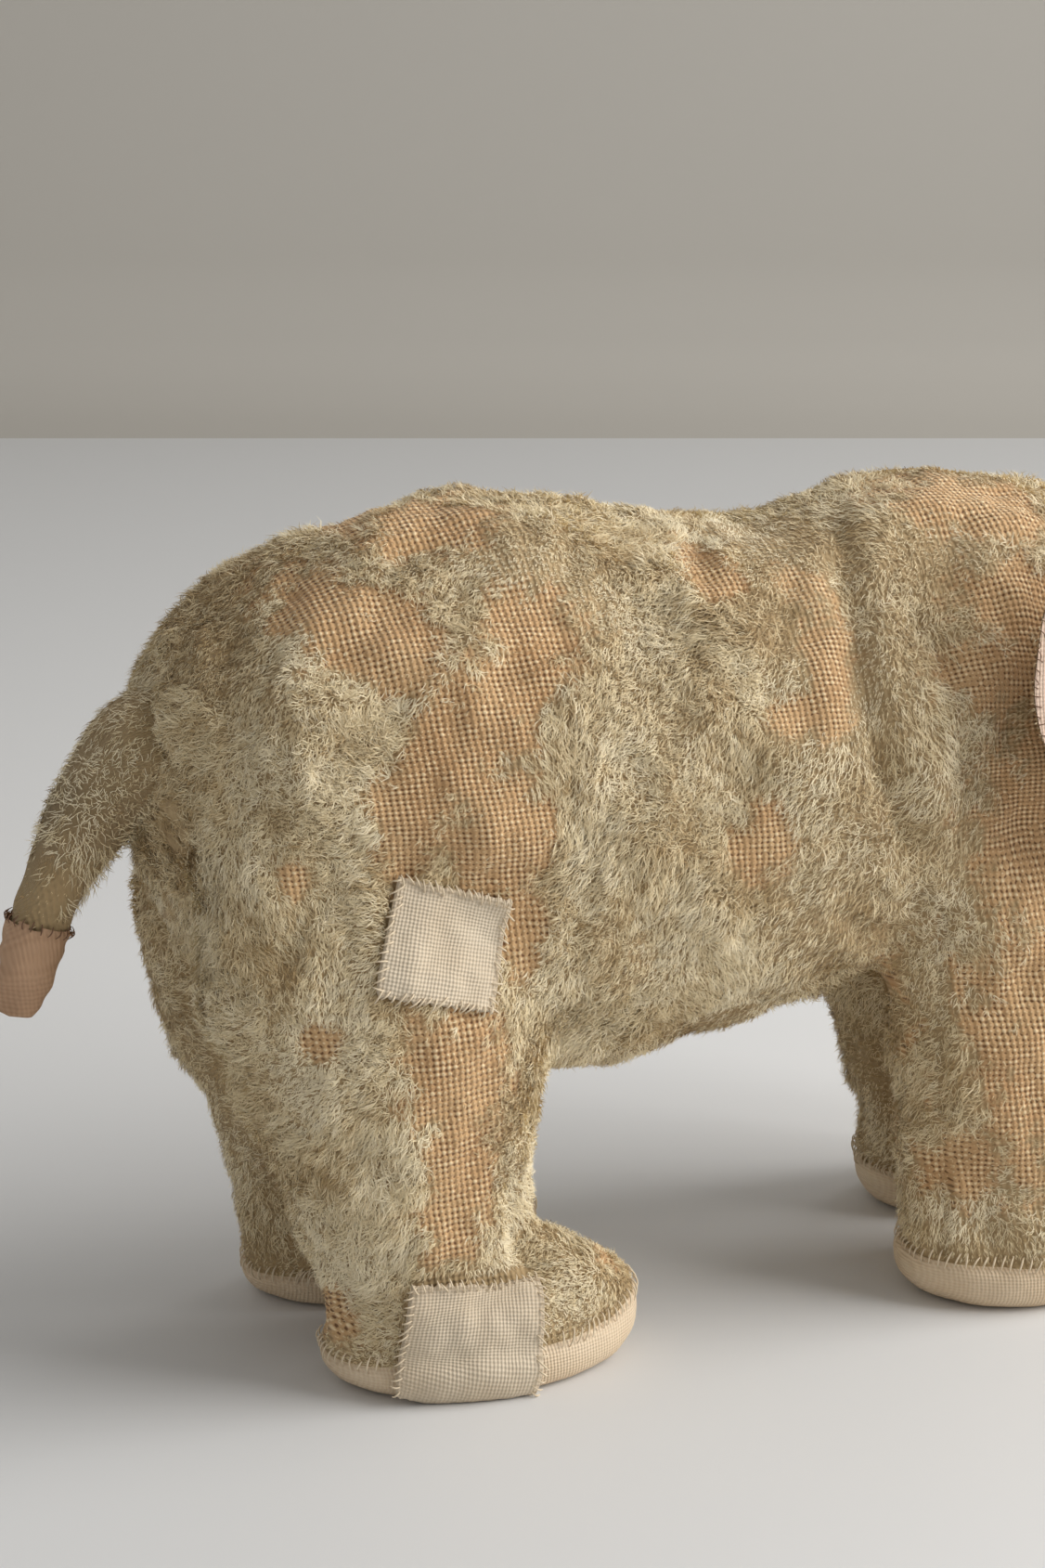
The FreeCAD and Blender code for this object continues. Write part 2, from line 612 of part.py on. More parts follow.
sewn("stitches_foot_patch",
     along_square(foot_whole.Shape, Vector(dim("foot_patch_x"), -60, dim("foot_patch_top") - foot_patch_tall / 2),
                  dim("foot_patch_wide"), foot_patch_tall, dim("foot_patch_turn"), open_below=True))
seam_count = int((dim("closing_seam_to") - dim("closing_seam_from")) // PITCH)
belly_row = []
for step in range(seam_count):
    x = dim("closing_seam_from") + PITCH * step
    belly_row.append(laid_on(forms["torso", "skin"].Shape,
                             (Vector(x, -HALF_STITCH, 40), Vector(x + 1, HALF_STITCH, 40)), Vector(0, 0, 60)))
sewn("stitches_closing_seam", belly_row)
for side, word in SIDES:
    lining = nodes[f"ear_lining_{word}"]
    face_out = lining.Placement.Rotation.multVec(Vector(0, side, 0))
    middle = lining.Shape.CenterOfMass
    rim = max(lining.Shape.Faces, key=lambda face: face.CenterOfMass.dot(face_out)).OuterWire
    points = rim.discretize(Number=round(rim.Length / PITCH) + 1)[:-1]
    stitches = []
    for point, following in zip(points, points[1:] + points[:1]):
        inward = (following - point).cross(face_out).normalize()
        if inward.dot(middle - point) < 0:
            inward = -inward
        seat = point + face_out * CLEAR + inward * 0.3
        stitches.append(stitch(seat, seat + inward * dim("stitch_length")))
    sewn(f"stitches_ear_{word}", stitches)

# ---------------------------------------------------------------- check everything, then write
doc.recompute()
for obj in doc.Objects:
    if "Invalid" in obj.State or "Error" in obj.State:
        raise SystemExit(f"{obj.Name} failed: {obj.State}")
for name, obj in nodes.items():
    if obj.Shape.isNull() or not obj.Shape.isValid() or not obj.Shape.Solids:
        raise SystemExit(f"{name} has no valid solid")
os.makedirs("parts", exist_ok=True)
for name, obj in nodes.items():
    obj.Shape.exportStep(f"parts/{name}.step")
print(len(nodes), "nodes written")
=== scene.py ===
"""A worn mohair elephant: cut-and-sewn skins over wood wool, mended with cotton duck.

Metres. Same frame as the CAD: +X towards the head, +Y its left side, +Z up, floor at 0. The pieces follow in
the order in which the toy is put together: stuffing, skins, foot pads, tail, ears, eyes, patches, sewing,
and last the pile.
"""
import math

import bmesh
import bpy
import numpy as np
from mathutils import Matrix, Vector
from mathutils.bvhtree import BVHTree


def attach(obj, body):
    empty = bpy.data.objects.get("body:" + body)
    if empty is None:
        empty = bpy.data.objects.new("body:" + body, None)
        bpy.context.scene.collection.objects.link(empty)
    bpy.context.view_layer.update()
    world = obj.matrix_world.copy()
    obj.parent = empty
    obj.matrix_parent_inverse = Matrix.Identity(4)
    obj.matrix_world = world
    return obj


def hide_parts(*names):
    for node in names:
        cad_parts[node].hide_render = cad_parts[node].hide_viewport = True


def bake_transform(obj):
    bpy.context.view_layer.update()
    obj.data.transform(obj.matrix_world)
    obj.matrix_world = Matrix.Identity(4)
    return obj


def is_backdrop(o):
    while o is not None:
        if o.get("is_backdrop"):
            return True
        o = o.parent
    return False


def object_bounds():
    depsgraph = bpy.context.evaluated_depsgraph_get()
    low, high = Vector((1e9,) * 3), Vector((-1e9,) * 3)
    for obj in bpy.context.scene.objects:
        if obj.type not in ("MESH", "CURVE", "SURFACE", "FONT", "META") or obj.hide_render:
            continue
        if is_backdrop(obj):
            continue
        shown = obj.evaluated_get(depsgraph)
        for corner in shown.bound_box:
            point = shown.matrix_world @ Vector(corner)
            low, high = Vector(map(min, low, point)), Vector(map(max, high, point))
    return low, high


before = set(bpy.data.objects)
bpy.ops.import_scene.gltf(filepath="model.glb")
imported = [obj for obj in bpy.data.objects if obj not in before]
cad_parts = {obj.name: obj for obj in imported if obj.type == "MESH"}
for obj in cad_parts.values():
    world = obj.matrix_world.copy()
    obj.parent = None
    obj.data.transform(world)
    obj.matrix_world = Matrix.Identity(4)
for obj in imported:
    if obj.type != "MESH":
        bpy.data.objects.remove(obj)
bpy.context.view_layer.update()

scene = bpy.context.scene

# ---------------------------------------------------------------- camera
# Stands behind the elephant's right shoulder, a little above its back, so that the head is out of the view.
camera_data = bpy.data.cameras.new("camera")
camera_data.sensor_width = 36.0
camera_data.lens = 63.94
camera = bpy.data.objects.new("camera", camera_data)
camera.location = (-0.31084, -0.64166, 0.28517)
camera.rotation_euler = (math.radians(90 - 12), 0.0, math.radians(-21))
scene.collection.objects.link(camera)
scene.camera = camera
scene.view_settings.view_transform = "Standard"

# ---------------------------------------------------------------- room
# A pale table top that runs back to a plain grey wall, lit by one large soft window and a weak fill.


def plain(name, colour, roughness=0.8, sheen=0.0, metallic=0.0, coat=0.0):
    """A Principled material with set values and nothing linked. colour is linear RGB."""
    material = bpy.data.materials.new(name)
    material.use_nodes = True
    shader = material.node_tree.nodes["Principled BSDF"]
    shader.inputs["Base Color"].default_value = (*colour, 1.0)
    shader.inputs["Roughness"].default_value = roughness
    shader.inputs["Sheen Weight"].default_value = sheen
    shader.inputs["Metallic"].default_value = metallic
    shader.inputs["Coat Weight"].default_value = coat
    material.diffuse_color = (*colour, 1.0)
    return material


def mesh_object(name, points, faces, materials, smooth=True):
    """An object at the origin from an array of points and a list or array of faces."""
    mesh = bpy.data.meshes.new(name)
    mesh.from_pydata(np.asarray(points, float).tolist(), [], np.asarray(faces).tolist()
                     if isinstance(faces, np.ndarray) else faces)
    mesh.polygons.foreach_set("use_smooth", np.full(len(mesh.polygons), smooth))
    for material in materials:
        mesh.materials.append(material)
    obj = bpy.data.objects.new(name, mesh)
    scene.collection.objects.link(obj)
    return obj


FORWARD = np.array([math.sin(math.radians(21)), math.cos(math.radians(21)), 0.0])
ASIDE = np.array([FORWARD[1], -FORWARD[0], 0.0])
table_profile = [(-3.0, 0.0), (2.6, 0.0), (2.75, 0.008), (2.86, 0.04), (2.93, 0.10), (2.96, 0.2), (2.98, 3.2)]
sweep_points, sweep_faces = [], []
for along, height in table_profile:
    for across in (-4.0, 4.0):
        sweep_points.append(FORWARD * along + ASIDE * across + np.array([0, 0, height]))
for row in range(len(table_profile) - 1):
    sweep_faces.append((2 * row, 2 * row + 1, 2 * row + 3, 2 * row + 2))
table_top = mesh_object("table_top", sweep_points, sweep_faces,
                        [plain("table_white", (0.72, 0.725, 0.73), 0.6),
                         plain("wall_grey", (0.56, 0.535, 0.49), 0.9)])
table_top.data.polygons.foreach_set("material_index", [0, 1, 1, 1, 1, 1])
table_top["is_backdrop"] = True

window_data = bpy.data.lights.new("window", "AREA")
window_data.shape = "RECTANGLE"
window_data.size = 1.3
window_data.size_y = 1.5
window_data.energy = 33.0
window_data.color = (1.0, 0.985, 0.96)
window = bpy.data.objects.new("window", window_data)
window.location = (1.20, -0.58, 0.86)
window.rotation_euler = (Vector((0.0, -0.02, 0.08)) - window.location).to_track_quat("-Z", "Y").to_euler()
scene.collection.objects.link(window)

far_data = bpy.data.lights.new("far_window", "AREA")
far_data.size = 1.6
far_data.energy = 13.0
far_data.color = (1.0, 0.985, 0.96)
far_window = bpy.data.objects.new("far_window", far_data)
far_window.location = (2.2, 1.5, 1.7)
far_window.rotation_euler = (Vector((0.9, 2.4, 0.3)) - far_window.location).to_track_quat("-Z", "Y").to_euler()
scene.collection.objects.link(far_window)

world = bpy.data.worlds.new("room")
world.use_nodes = True
world.node_tree.nodes["Background"].inputs["Color"].default_value = (1.0, 0.985, 0.96, 1.0)
world.node_tree.nodes["Background"].inputs["Strength"].default_value = 0.40
scene.world = world

# ---------------------------------------------------------------- forms
# The same stations as the CAD: what the cutter's pattern gives once it is packed tight.
MM = 0.001
TORSO = np.array([(-167, 147, 13, 10), (-161, 146, 31, 27), (-146, 142.5, 51, 43), (-120, 140, 67, 51),
                  (-82, 140, 76, 55), (-40, 137.5, 72.5, 55), (0, 140.5, 67, 54), (32, 149, 65, 52),
                  (62, 151, 65, 50), (92, 150, 57, 46), (112, 152, 42, 34)]) * MM     # x, z, half tall, half wide
# legs: z, x, half long, half wide, out
HIND_LEG = np.array([(12, -100, 26.5, 20.5, 30.6), (40, -105, 31, 23, 30), (70, -110, 37, 27, 30),
                     (102, -113, 45, 28, 30), (138, -112, 44, 22, 28)]) * MM
FRONT_LEG = np.array([(12, 64, 32, 24.5, 31), (40, 62.5, 33.5, 26, 30.5), (70, 61, 34.5, 27, 30),
                      (102, 60, 36, 26, 29), (138, 60, 34, 19, 26)]) * MM
HIND_STEP = np.array([-3, -3, -3, -2, 0]) * MM       # left leg behind the right, by station
FRONT_STEP = np.array([21, 17, 8, 2, 0]) * MM        # left leg ahead of the right
HIND_FOOT = np.array([(-88, 31, 15.5), (42, 25.5, 21)]) * MM     # centre x, out, z; half long, wide, tall
FRONT_FOOT = np.array([(64.7, 31.4, 16.2), (35.5, 26.5, 21.2)]) * MM
HEAD = np.array([(120, 0, 158), (46, 44, 50)]) * MM
TRUNK = np.array([(143, 145, 28, -48), (161, 125, 23, -36), (175, 96, 17.5, -20), (181.5, 67, 14, -11),
                  (187, 42, 12.3, -16)])                                              # x, z, radius, tilt
TAIL = np.array([(-148, 161, 15, 50), (-159, 153.5, 17.5, 49), (-168, 147, 14.5, 44),
                 (-176.5, 137.5, 11.5, 36), (-184.5, 123, 8.8, 25),
                 (-188, 114.5, 8.2, 20), (-192.5, 100, 6.8, 15), (-194.5, 93.5, 4.8, 12)])


def spline(keys, values, at):
    """Smooth rows at the given places: cubic Hermite through values at keys, slopes from the neighbours."""
    slopes = np.gradient(values, keys, axis=0)
    low = np.clip(np.searchsorted(keys, at, side="right") - 1, 0, len(keys) - 2)
    span = (keys[low + 1] - keys[low])[:, None]
    t = (at - keys[low])[:, None] / span
    return ((2 * t ** 3 - 3 * t ** 2 + 1) * values[low] + (t ** 3 - 2 * t ** 2 + t) * span * slopes[low]
            + (3 * t ** 2 - 2 * t ** 3) * values[low + 1] + (t ** 3 - t ** 2) * span * slopes[low + 1])


def closed_tube(rings, start, end):
    """Points and faces of a closed tube: rings of equal count, first to last, with a pole at each end."""
    count, around = rings.shape[:2]
    points = np.concatenate([rings.reshape(-1, 3), [start, end]])
    index = np.arange(count * around).reshape(count, around)
    nxt = np.roll(index, -1, axis=1)
    quads = np.stack([index[:-1], nxt[:-1], nxt[1:], index[1:]], axis=-1).reshape(-1, 4).tolist()
    first, last = count * around, count * around + 1
    caps = [(first, b, a) for a, b in zip(index[0], nxt[0])] + [(last, a, b) for a, b in zip(index[-1], nxt[-1])]
    return points, quads + [tuple(int(i) for i in cap) for cap in caps]


TURNS = np.linspace(0, 2 * np.pi, 64, endpoint=False)


def torso_tube(grow=0.0):
    x = np.linspace(TORSO[0, 0], TORSO[-1, 0], 90)
    row = spline(TORSO[:, 0], TORSO[:, 1:], x)
    rings = np.stack([np.repeat(x[:, None], 64, 1), (row[:, 2:3] + grow) * np.cos(TURNS),
                      row[:, 0:1] + (row[:, 1:2] + grow) * np.sin(TURNS)], axis=-1)
    return closed_tube(rings, (x[0] - 0.003, 0, row[0, 0]), (x[-1] + 0.004, 0, row[-1, 0]))


def leg_tube(stations, step, side, grow=0.0):
    z = np.linspace(stations[0, 0], stations[-1, 0], 50)
    moved = stations[:, 1:].copy()
    if side > 0:
        moved[:, 0] += step
    row = spline(stations[:, 0], moved, z)
    rings = np.stack([row[:, 0:1] + (row[:, 1:2] + grow) * np.cos(TURNS),
                      side * row[:, 3:4] + (row[:, 2:3] + grow) * np.sin(TURNS),
                      np.repeat(z[:, None], 64, 1)], axis=-1)
    return closed_tube(rings, (row[0, 0], side * row[0, 3], z[0] - 0.001),
                       (row[-1, 0], side * row[-1, 3], z[-1] + 0.001))


def ellipsoid_tube(form, side=1, step=0.0, grow=0.0):
    """An ellipsoid: rings at even angles from its lowest point to its highest."""
    centre = form[0] * (1, side, 1) + (step, 0, 0)
    rise = np.linspace(-np.pi / 2, np.pi / 2, 42)[1:-1, None]
    half = form[1] + grow
    rings = np.stack([centre[0] + half[0] * np.cos(rise) * np.cos(TURNS),
                      centre[1] + half[1] * np.cos(rise) * np.sin(TURNS),
                      centre[2] + half[2] * np.sin(rise) * np.ones(64)], axis=-1)
    return closed_tube(rings, centre - (0, 0, half[2]), centre + (0, 0, half[2]))


def bent_tube(stations, grow=0.0, turns=TURNS, steps=60):
    """Circles across a path that bends in the XZ plane; keys are the stations' numbers."""
    at = np.linspace(0, len(stations) - 1, steps)
    row = spline(np.arange(len(stations), dtype=float), stations, at)
    tilt = np.radians(row[:, 3:4])
    radius = row[:, 2:3] * MM + grow
    rings = np.stack([row[:, 0:1] * MM + radius * np.cos(turns) * np.cos(tilt), radius * np.sin(turns),
                      row[:, 1:2] * MM - radius * np.cos(turns) * np.sin(tilt)], axis=-1)
    ends = [rings[0].mean(axis=0), rings[-1].mean(axis=0)]
    along = ends[1] - rings[-2].mean(axis=0)
    return closed_tube(rings, ends[0], ends[1] + along / np.linalg.norm(along) * radius[-1, 0] * 0.35)


def waves(points, size, seed, count=28):
    """Soft noise, about -1 to 1: the sum of sines of random direction and phase with wavelengths near size."""
    rng = np.random.default_rng(seed)
    heading = rng.normal(size=(count, 3))
    heading *= (2 * np.pi / size / np.linalg.norm(heading, axis=1) * rng.uniform(0.6, 1.6, count))[:, None]
    phase = rng.uniform(0, 2 * np.pi, count)
    total = np.zeros(len(points))
    for direction, start in zip(heading, phase):
        total += np.sin(points @ direction + start)
    return total / math.sqrt(count)


def ramp(value, low, high):
    """0 below low, 1 above high and smooth between."""
    t = np.clip((value - low) / (high - low), 0, 1)
    return t * t * (3 - 2 * t)


# ---------------------------------------------------------------- stuffing
# Wood wool pushed in through the belly seam in wads. Hidden by the skins; each wad is lumpy and a little
# smaller than the form around it.
wool_material = bpy.data.materials.new("wood_wool")
wool_material.use_nodes = True
wool_tree = wool_material.node_tree
wool_shader = wool_tree.nodes["Principled BSDF"]
wool_shader.inputs["Roughness"].default_value = 0.85
wool_grain = wool_tree.nodes.new("ShaderNodeTexNoise")
wool_grain.inputs["Scale"].default_value = 180.0
wool_grain.inputs["Distortion"].default_value = 2.5
wool_colours = wool_tree.nodes.new("ShaderNodeValToRGB")
wool_colours.color_ramp.elements[0].color = (0.24, 0.15, 0.07, 1)
wool_colours.color_ramp.elements[1].color = (0.62, 0.47, 0.26, 1)
wool_place = wool_tree.nodes.new("ShaderNodeTexCoord")
wool_tree.links.new(wool_place.outputs["Object"], wool_grain.inputs["Vector"])
wool_tree.links.new(wool_grain.outputs["Fac"], wool_colours.inputs["Fac"])
wool_tree.links.new(wool_colours.outputs["Color"], wool_shader.inputs["Base Color"])

WADS = {
    "torso_stuffing": (torso_tube(-0.0068), 0.92),
    "head_stuffing": (ellipsoid_tube(HEAD, grow=-0.0068), 0.9),
    "trunk_stuffing": (bent_tube(TRUNK, grow=-0.0068), 0.9),
    "tail_stuffing": (bent_tube(TAIL[3:], grow=-0.0032), 0.95),
}
for side, word in ((-1, "right"), (1, "left")):
    WADS[f"hind_leg_stuffing_{word}"] = (leg_tube(HIND_LEG, HIND_STEP, side, -0.0070), 0.95)
    WADS[f"front_leg_stuffing_{word}"] = (leg_tube(FRONT_LEG, FRONT_STEP, side, -0.0070), 0.95)
for name, ((points, faces), fill) in WADS.items():
    middle = points.mean(axis=0)
    lumps = 1 + 0.012 * waves(points, 0.012, 5) - 0.012
    wad = mesh_object(f"{name}_wad", middle + (points - middle) * lumps[:, None], faces, [wool_material])
    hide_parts(name)
    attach(wad, "tail" if name.startswith("tail") else "body")

# ---------------------------------------------------------------- skin: the stuffed shape
# All forms run together into one surface, then lumps, seam grooves and the folds that years of standing
# have pressed into it. It is cut into the pattern's pieces further down.
PAD_SEAMS = {   # foot: centre x, two straight runs of the seam as (height at the centre, rise)
    ("hind", -1): (-0.088, (0.0112, 0.06), (0.0035, 0.33)),
    ("hind", 1): (-0.091, (0.0112, 0.06), (0.0035, 0.33)),
    ("front", -1): (0.0647, (0.0125, -0.02), (-0.02, 0.02)),
    ("front", 1): (0.0867, (0.0125, -0.02), (-0.02, 0.02)),
}


def seam_height(points, leg, side):
    """Height of a foot's pad seam above the floor at each point: the higher of its two straight runs."""
    middle, first, second = PAD_SEAMS[leg, side]
    x = points[:, 0] - middle
    return np.maximum(first[0] + first[1] * x, second[0] + second[1] * x)


def above_pad(points):
    """Signed height over the pad seam of the foot that each point belongs to."""
    height = np.zeros(len(points))
    for leg, side in PAD_SEAMS:
        mine = ((points[:, 0] < -0.01) == (leg == "hind")) & ((points[:, 1] < 0) == (side < 0))
        height[mine] = points[mine, 2] - seam_height(points[mine], leg, side)
    return height


# folds: side, depth, half width, then the run as (x, z) points on that flank
FOLDS = [
    (-1, 0.0030, 0.0040, [(0.024, 0.216), (0.017, 0.210), (0.013, 0.2035),
                          (0.0095, 0.1937), (0.0065, 0.181), (0.006, 0.168),
                          (0.009, 0.152), (0.013, 0.142), (0.020, 0.128)]),
    (-1, 0.0012, 0.0032, [(-0.021, 0.210), (-0.025, 0.204), (-0.028, 0.195)]),
    (-1, 0.0018, 0.0028, [(0.002, 0.110), (0.012, 0.1045), (0.022, 0.102)]),
    (-1, 0.0014, 0.0026, [(0.006, 0.1155), (0.016, 0.112), (0.026, 0.110)]),
    (-1, 0.0013, 0.0035, [(0.020, 0.190), (0.030, 0.170), (0.034, 0.150)]),
    (-1, 0.0016, 0.0030, [(-0.084, 0.049), (-0.083, 0.038), (-0.079, 0.031)]),
    (-1, 0.0010, 0.0040, [(-0.070, 0.120), (-0.066, 0.104), (-0.066, 0.090)]),
    (1, 0.0022, 0.0042, [(0.024, 0.216), (0.015, 0.203), (0.010, 0.190), (0.011, 0.165), (0.010, 0.142)]),
    (1, 0.0012, 0.0034, [(-0.030, 0.203), (-0.034, 0.195), (-0.036, 0.186)]),
    (1, 0.0017, 0.0030, [(0.004, 0.108), (0.016, 0.102), (0.028, 0.100)]),
    (1, 0.0016, 0.0030, [(-0.086, 0.049), (-0.085, 0.038), (-0.081, 0.031)]),
]


def fold_depth(points):
    """How far the folds press in at each point: a Gaussian trough round each run, with a low swell beside it."""
    depth = np.zeros(len(points))
    flat = points[:, (0, 2)]
    for side, deep, half, run in FOLDS:
        run = np.array(run)
        nearest = np.full(len(points), 1.0)
        for a, b in zip(run[:-1], run[1:]):
            along = np.clip(((flat - a) @ (b - a)) / ((b - a) @ (b - a)), 0, 1)
            nearest = np.minimum(nearest, np.linalg.norm(flat - a - along[:, None] * (b - a), axis=1))
        mine = ramp(points[:, 1] * side, -0.012, 0.004)
        mine *= 1 - 0.9 * ramp(points[:, 2], 0.196, 0.209)
        swell = 0.35 * np.exp(-((nearest - 2.6 * half) / (1.5 * half)) ** 2)
        depth += mine * deep * (np.exp(-(nearest / half) ** 2) - swell)
    return depth


tubes = [torso_tube(), ellipsoid_tube(HEAD), bent_tube(TRUNK)]
for side in (-1, 1):
    left = side > 0
    tubes.append(leg_tube(HIND_LEG, HIND_STEP, side))
    tubes.append(leg_tube(FRONT_LEG, FRONT_STEP, side))
    tubes.append(ellipsoid_tube(HIND_FOOT, side, HIND_STEP[0] if left else 0.0))
    tubes.append(ellipsoid_tube(FRONT_FOOT, side, 0.022 if left else 0.0))
form_points, form_faces = [], []
for points, faces in tubes:
    start = sum(len(p) for p in form_points)
    form_points.append(points)
    form_faces += [tuple(i + start for i in face) for face in faces]
rough = mesh_object("rough_form", np.concatenate(form_points), form_faces, [])
union = rough.modifiers.new("union", "REMESH")
union.mode = "VOXEL"
union.voxel_size = 0.0021
skin_mesh = bpy.data.meshes.new_from_object(rough.evaluated_get(bpy.context.evaluated_depsgraph_get()))
bpy.data.objects.remove(rough)


def arrays(mesh):
    """Points and vertex normals of a mesh."""
    points = np.zeros(len(mesh.vertices) * 3)
    mesh.vertices.foreach_get("co", points)
    normals = np.zeros(len(mesh.vertices) * 3)
    mesh.vertex_normals.foreach_get("vector", normals)
    return points.reshape(-1, 3), normals.reshape(-1, 3)


def evened(mesh, points, rounds, share=0.5):
    """The points moved towards the middle of their neighbours, some rounds in turn."""
    pairs = np.zeros(len(mesh.edges) * 2, int)
    mesh.edges.foreach_get("vertices", pairs)
    a, b = pairs.reshape(-1, 2).T
    degree = np.bincount(np.concatenate([a, b]), minlength=len(points))[:, None]
    for _ in range(rounds):
        total = np.zeros_like(points)
        for axis in range(3):
            total[:, axis] = (np.bincount(a, points[b, axis], len(points))
                              + np.bincount(b, points[a, axis], len(points)))
        points = points + share * (total / np.maximum(degree, 1) - points)
    return points


points, _ = arrays(skin_mesh)
points = evened(skin_mesh, points, 9)
skin_mesh.vertices.foreach_set("co", points.ravel())
skin_mesh.update()

# The skin settles on its stuffing: a coarse copy, drawn a little tight, falls for a few frames on the wads'
# outline, and the fine skin takes over how far it sagged. Feet and head are packed hard and keep their shape.
SETTLE_CELL = 0.0055      # edge of the coarse copy's faces
SETTLE_ROOM = 0.0030      # the wads lie this far inside it
SETTLE_GAP = 0.0006       # nearest that cloth and wads come
SETTLE_MOST = 0.0013      # longest move that is passed on
SETTLE_BLUR = 0.005       # over which the moves are averaged
SETTLE_FRAMES = 14
settling = bpy.data.objects.new("settling_skin", skin_mesh.copy())
bpy.context.scene.collection.objects.link(settling)
coarse = settling.modifiers.new("coarse", "REMESH")
coarse.mode = "VOXEL"
coarse.voxel_size = SETTLE_CELL
loose = bpy.data.meshes.new_from_object(settling.evaluated_get(bpy.context.evaluated_depsgraph_get()))
bpy.data.objects.remove(settling)
start, outward = arrays(loose)
outline = bpy.data.objects.new("wad_outline", loose.copy())
outline.data.vertices.foreach_set("co", (start - SETTLE_ROOM * outward).ravel())
bpy.context.scene.collection.objects.link(outline)
outline.modifiers.new("wads", "COLLISION")
outline.collision.thickness_outer = SETTLE_GAP
outline.collision.cloth_friction = 15.0
falling = bpy.data.objects.new("falling_skin", loose)
bpy.context.scene.collection.objects.link(falling)
held = falling.vertex_groups.new(name="held")
held.add([int(i) for i in np.nonzero((start[:, 2] < 0.03) | (start[:, 0] > 0.12))[0]], 1.0, "REPLACE")
drape = falling.modifiers.new("drape", "CLOTH")
drape.settings.quality = 6
drape.settings.mass = 0.02
drape.settings.tension_stiffness = 12.0
drape.settings.compression_stiffness = 12.0
drape.settings.bending_stiffness = 0.6
drape.settings.shrink_min = 0.015
drape.settings.vertex_group_mass = "held"
drape.collision_settings.distance_min = SETTLE_GAP
drape.point_cache.frame_end = SETTLE_FRAMES
for step in range(1, SETTLE_FRAMES + 1):
    bpy.context.scene.frame_set(step)
settled = bpy.data.meshes.new_from_object(falling.evaluated_get(bpy.context.evaluated_depsgraph_get()))
sag = arrays(settled)[0] - start
bpy.context.scene.frame_set(1)
bpy.data.objects.remove(falling)
bpy.data.objects.remove(outline)
far = np.linalg.norm(sag, axis=1, keepdims=True)
sag *= np.minimum(1.0, SETTLE_MOST / np.maximum(far, 1e-9))
for first in range(0, len(points), 2000):
    some = points[first:first + 2000]
    apart = (some ** 2).sum(1)[:, None] + (start ** 2).sum(1)[None] - 2 * some @ start.T
    share = np.exp(-apart / (2 * SETTLE_BLUR ** 2))
    moved = share @ sag / share.sum(1)[:, None]
    keep = ramp(some[:, 2], 0.040, 0.07) * (1 - ramp(some[:, 0], 0.095, 0.12))
    points[first:first + 2000] = some + keep[:, None] * moved
print("settling: moved at most", round(float(far.max() * 1000), 2), "mm, mean",
      round(float(far.mean() * 1000), 2))
skin_mesh.vertices.foreach_set("co", points.ravel())
skin_mesh.update()

points, normals = arrays(skin_mesh)
for (leg, side), (middle, first, second) in PAD_SEAMS.items():
    mine = (points[:, 2] < 0.014) & ((points[:, 0] < -0.01) == (leg == "hind"))
    mine &= ((points[:, 1] < 0) == (side < 0))
    spread = 1 + 0.24 * np.clip(1 - points[mine, 2] / 0.014, 0, 1) ** 1.5
    points[mine, 0] = middle + (points[mine, 0] - middle) * spread
    points[mine, 1] = 0.031 * side + (points[mine, 1] - 0.031 * side) * spread
skin_mesh.vertices.foreach_set("co", points.ravel())
skin_mesh.update()
points, normals = arrays(skin_mesh)
clear = above_pad(points)
in_foot = points[:, 2] < 0.045
pad_part = np.where(in_foot, 1 - ramp(clear, -0.0008, 0.0012), 0.0)
inset = -0.0019 * (1 - pad_part) - 0.0002 * pad_part
lumps = (0.0013 * waves(points, 0.040, 1) + 0.0007 * waves(points, 0.017, 2) + 0.0003 * waves(points, 0.007, 3))
lumps = lumps * (1 - 0.75 * pad_part)
welt = np.where(in_foot, -0.0009 * np.exp(-(clear / 0.0011) ** 2), 0.0)
half = np.where(points[:, 0] < 0.015, 0.030, 0.044)
on_gusset = (points[:, 2] < 0.108) & ~(in_foot & (clear < 0.002))
groove = np.where(on_gusset, -0.0011 * np.exp(-((np.abs(points[:, 1]) - half) / 0.0013) ** 2), 0.0)
points = points + normals * (inset + lumps + welt + groove - fold_depth(points))[:, None]
points[:, 2] = np.where(points[:, 2] < 0.0016, 0.0004 + 0.75 * np.clip(points[:, 2], 0, 1), points[:, 2])
skin_mesh.vertices.foreach_set("co", points.ravel())
skin_mesh.update()

# ---------------------------------------------------------------- skin: cutting into the pattern's pieces
# Two side panels, two belly gussets with the inner legs, a strip over the crown, one under the chin, four pads.
cutting = bmesh.new()
cutting.from_mesh(skin_mesh)


def slice_by(origin, normal, keep):
    """A cut along a plane, through the faces for which keep(centre) is true."""
    faces = [face for face in cutting.faces if keep(face.calc_center_median())]
    edges = list({edge for face in faces for edge in face.edges})
    verts = list({vert for face in faces for vert in face.verts})
    bmesh.ops.bisect_plane(cutting, geom=faces + edges + verts, plane_co=origin, plane_no=normal, dist=1e-6)


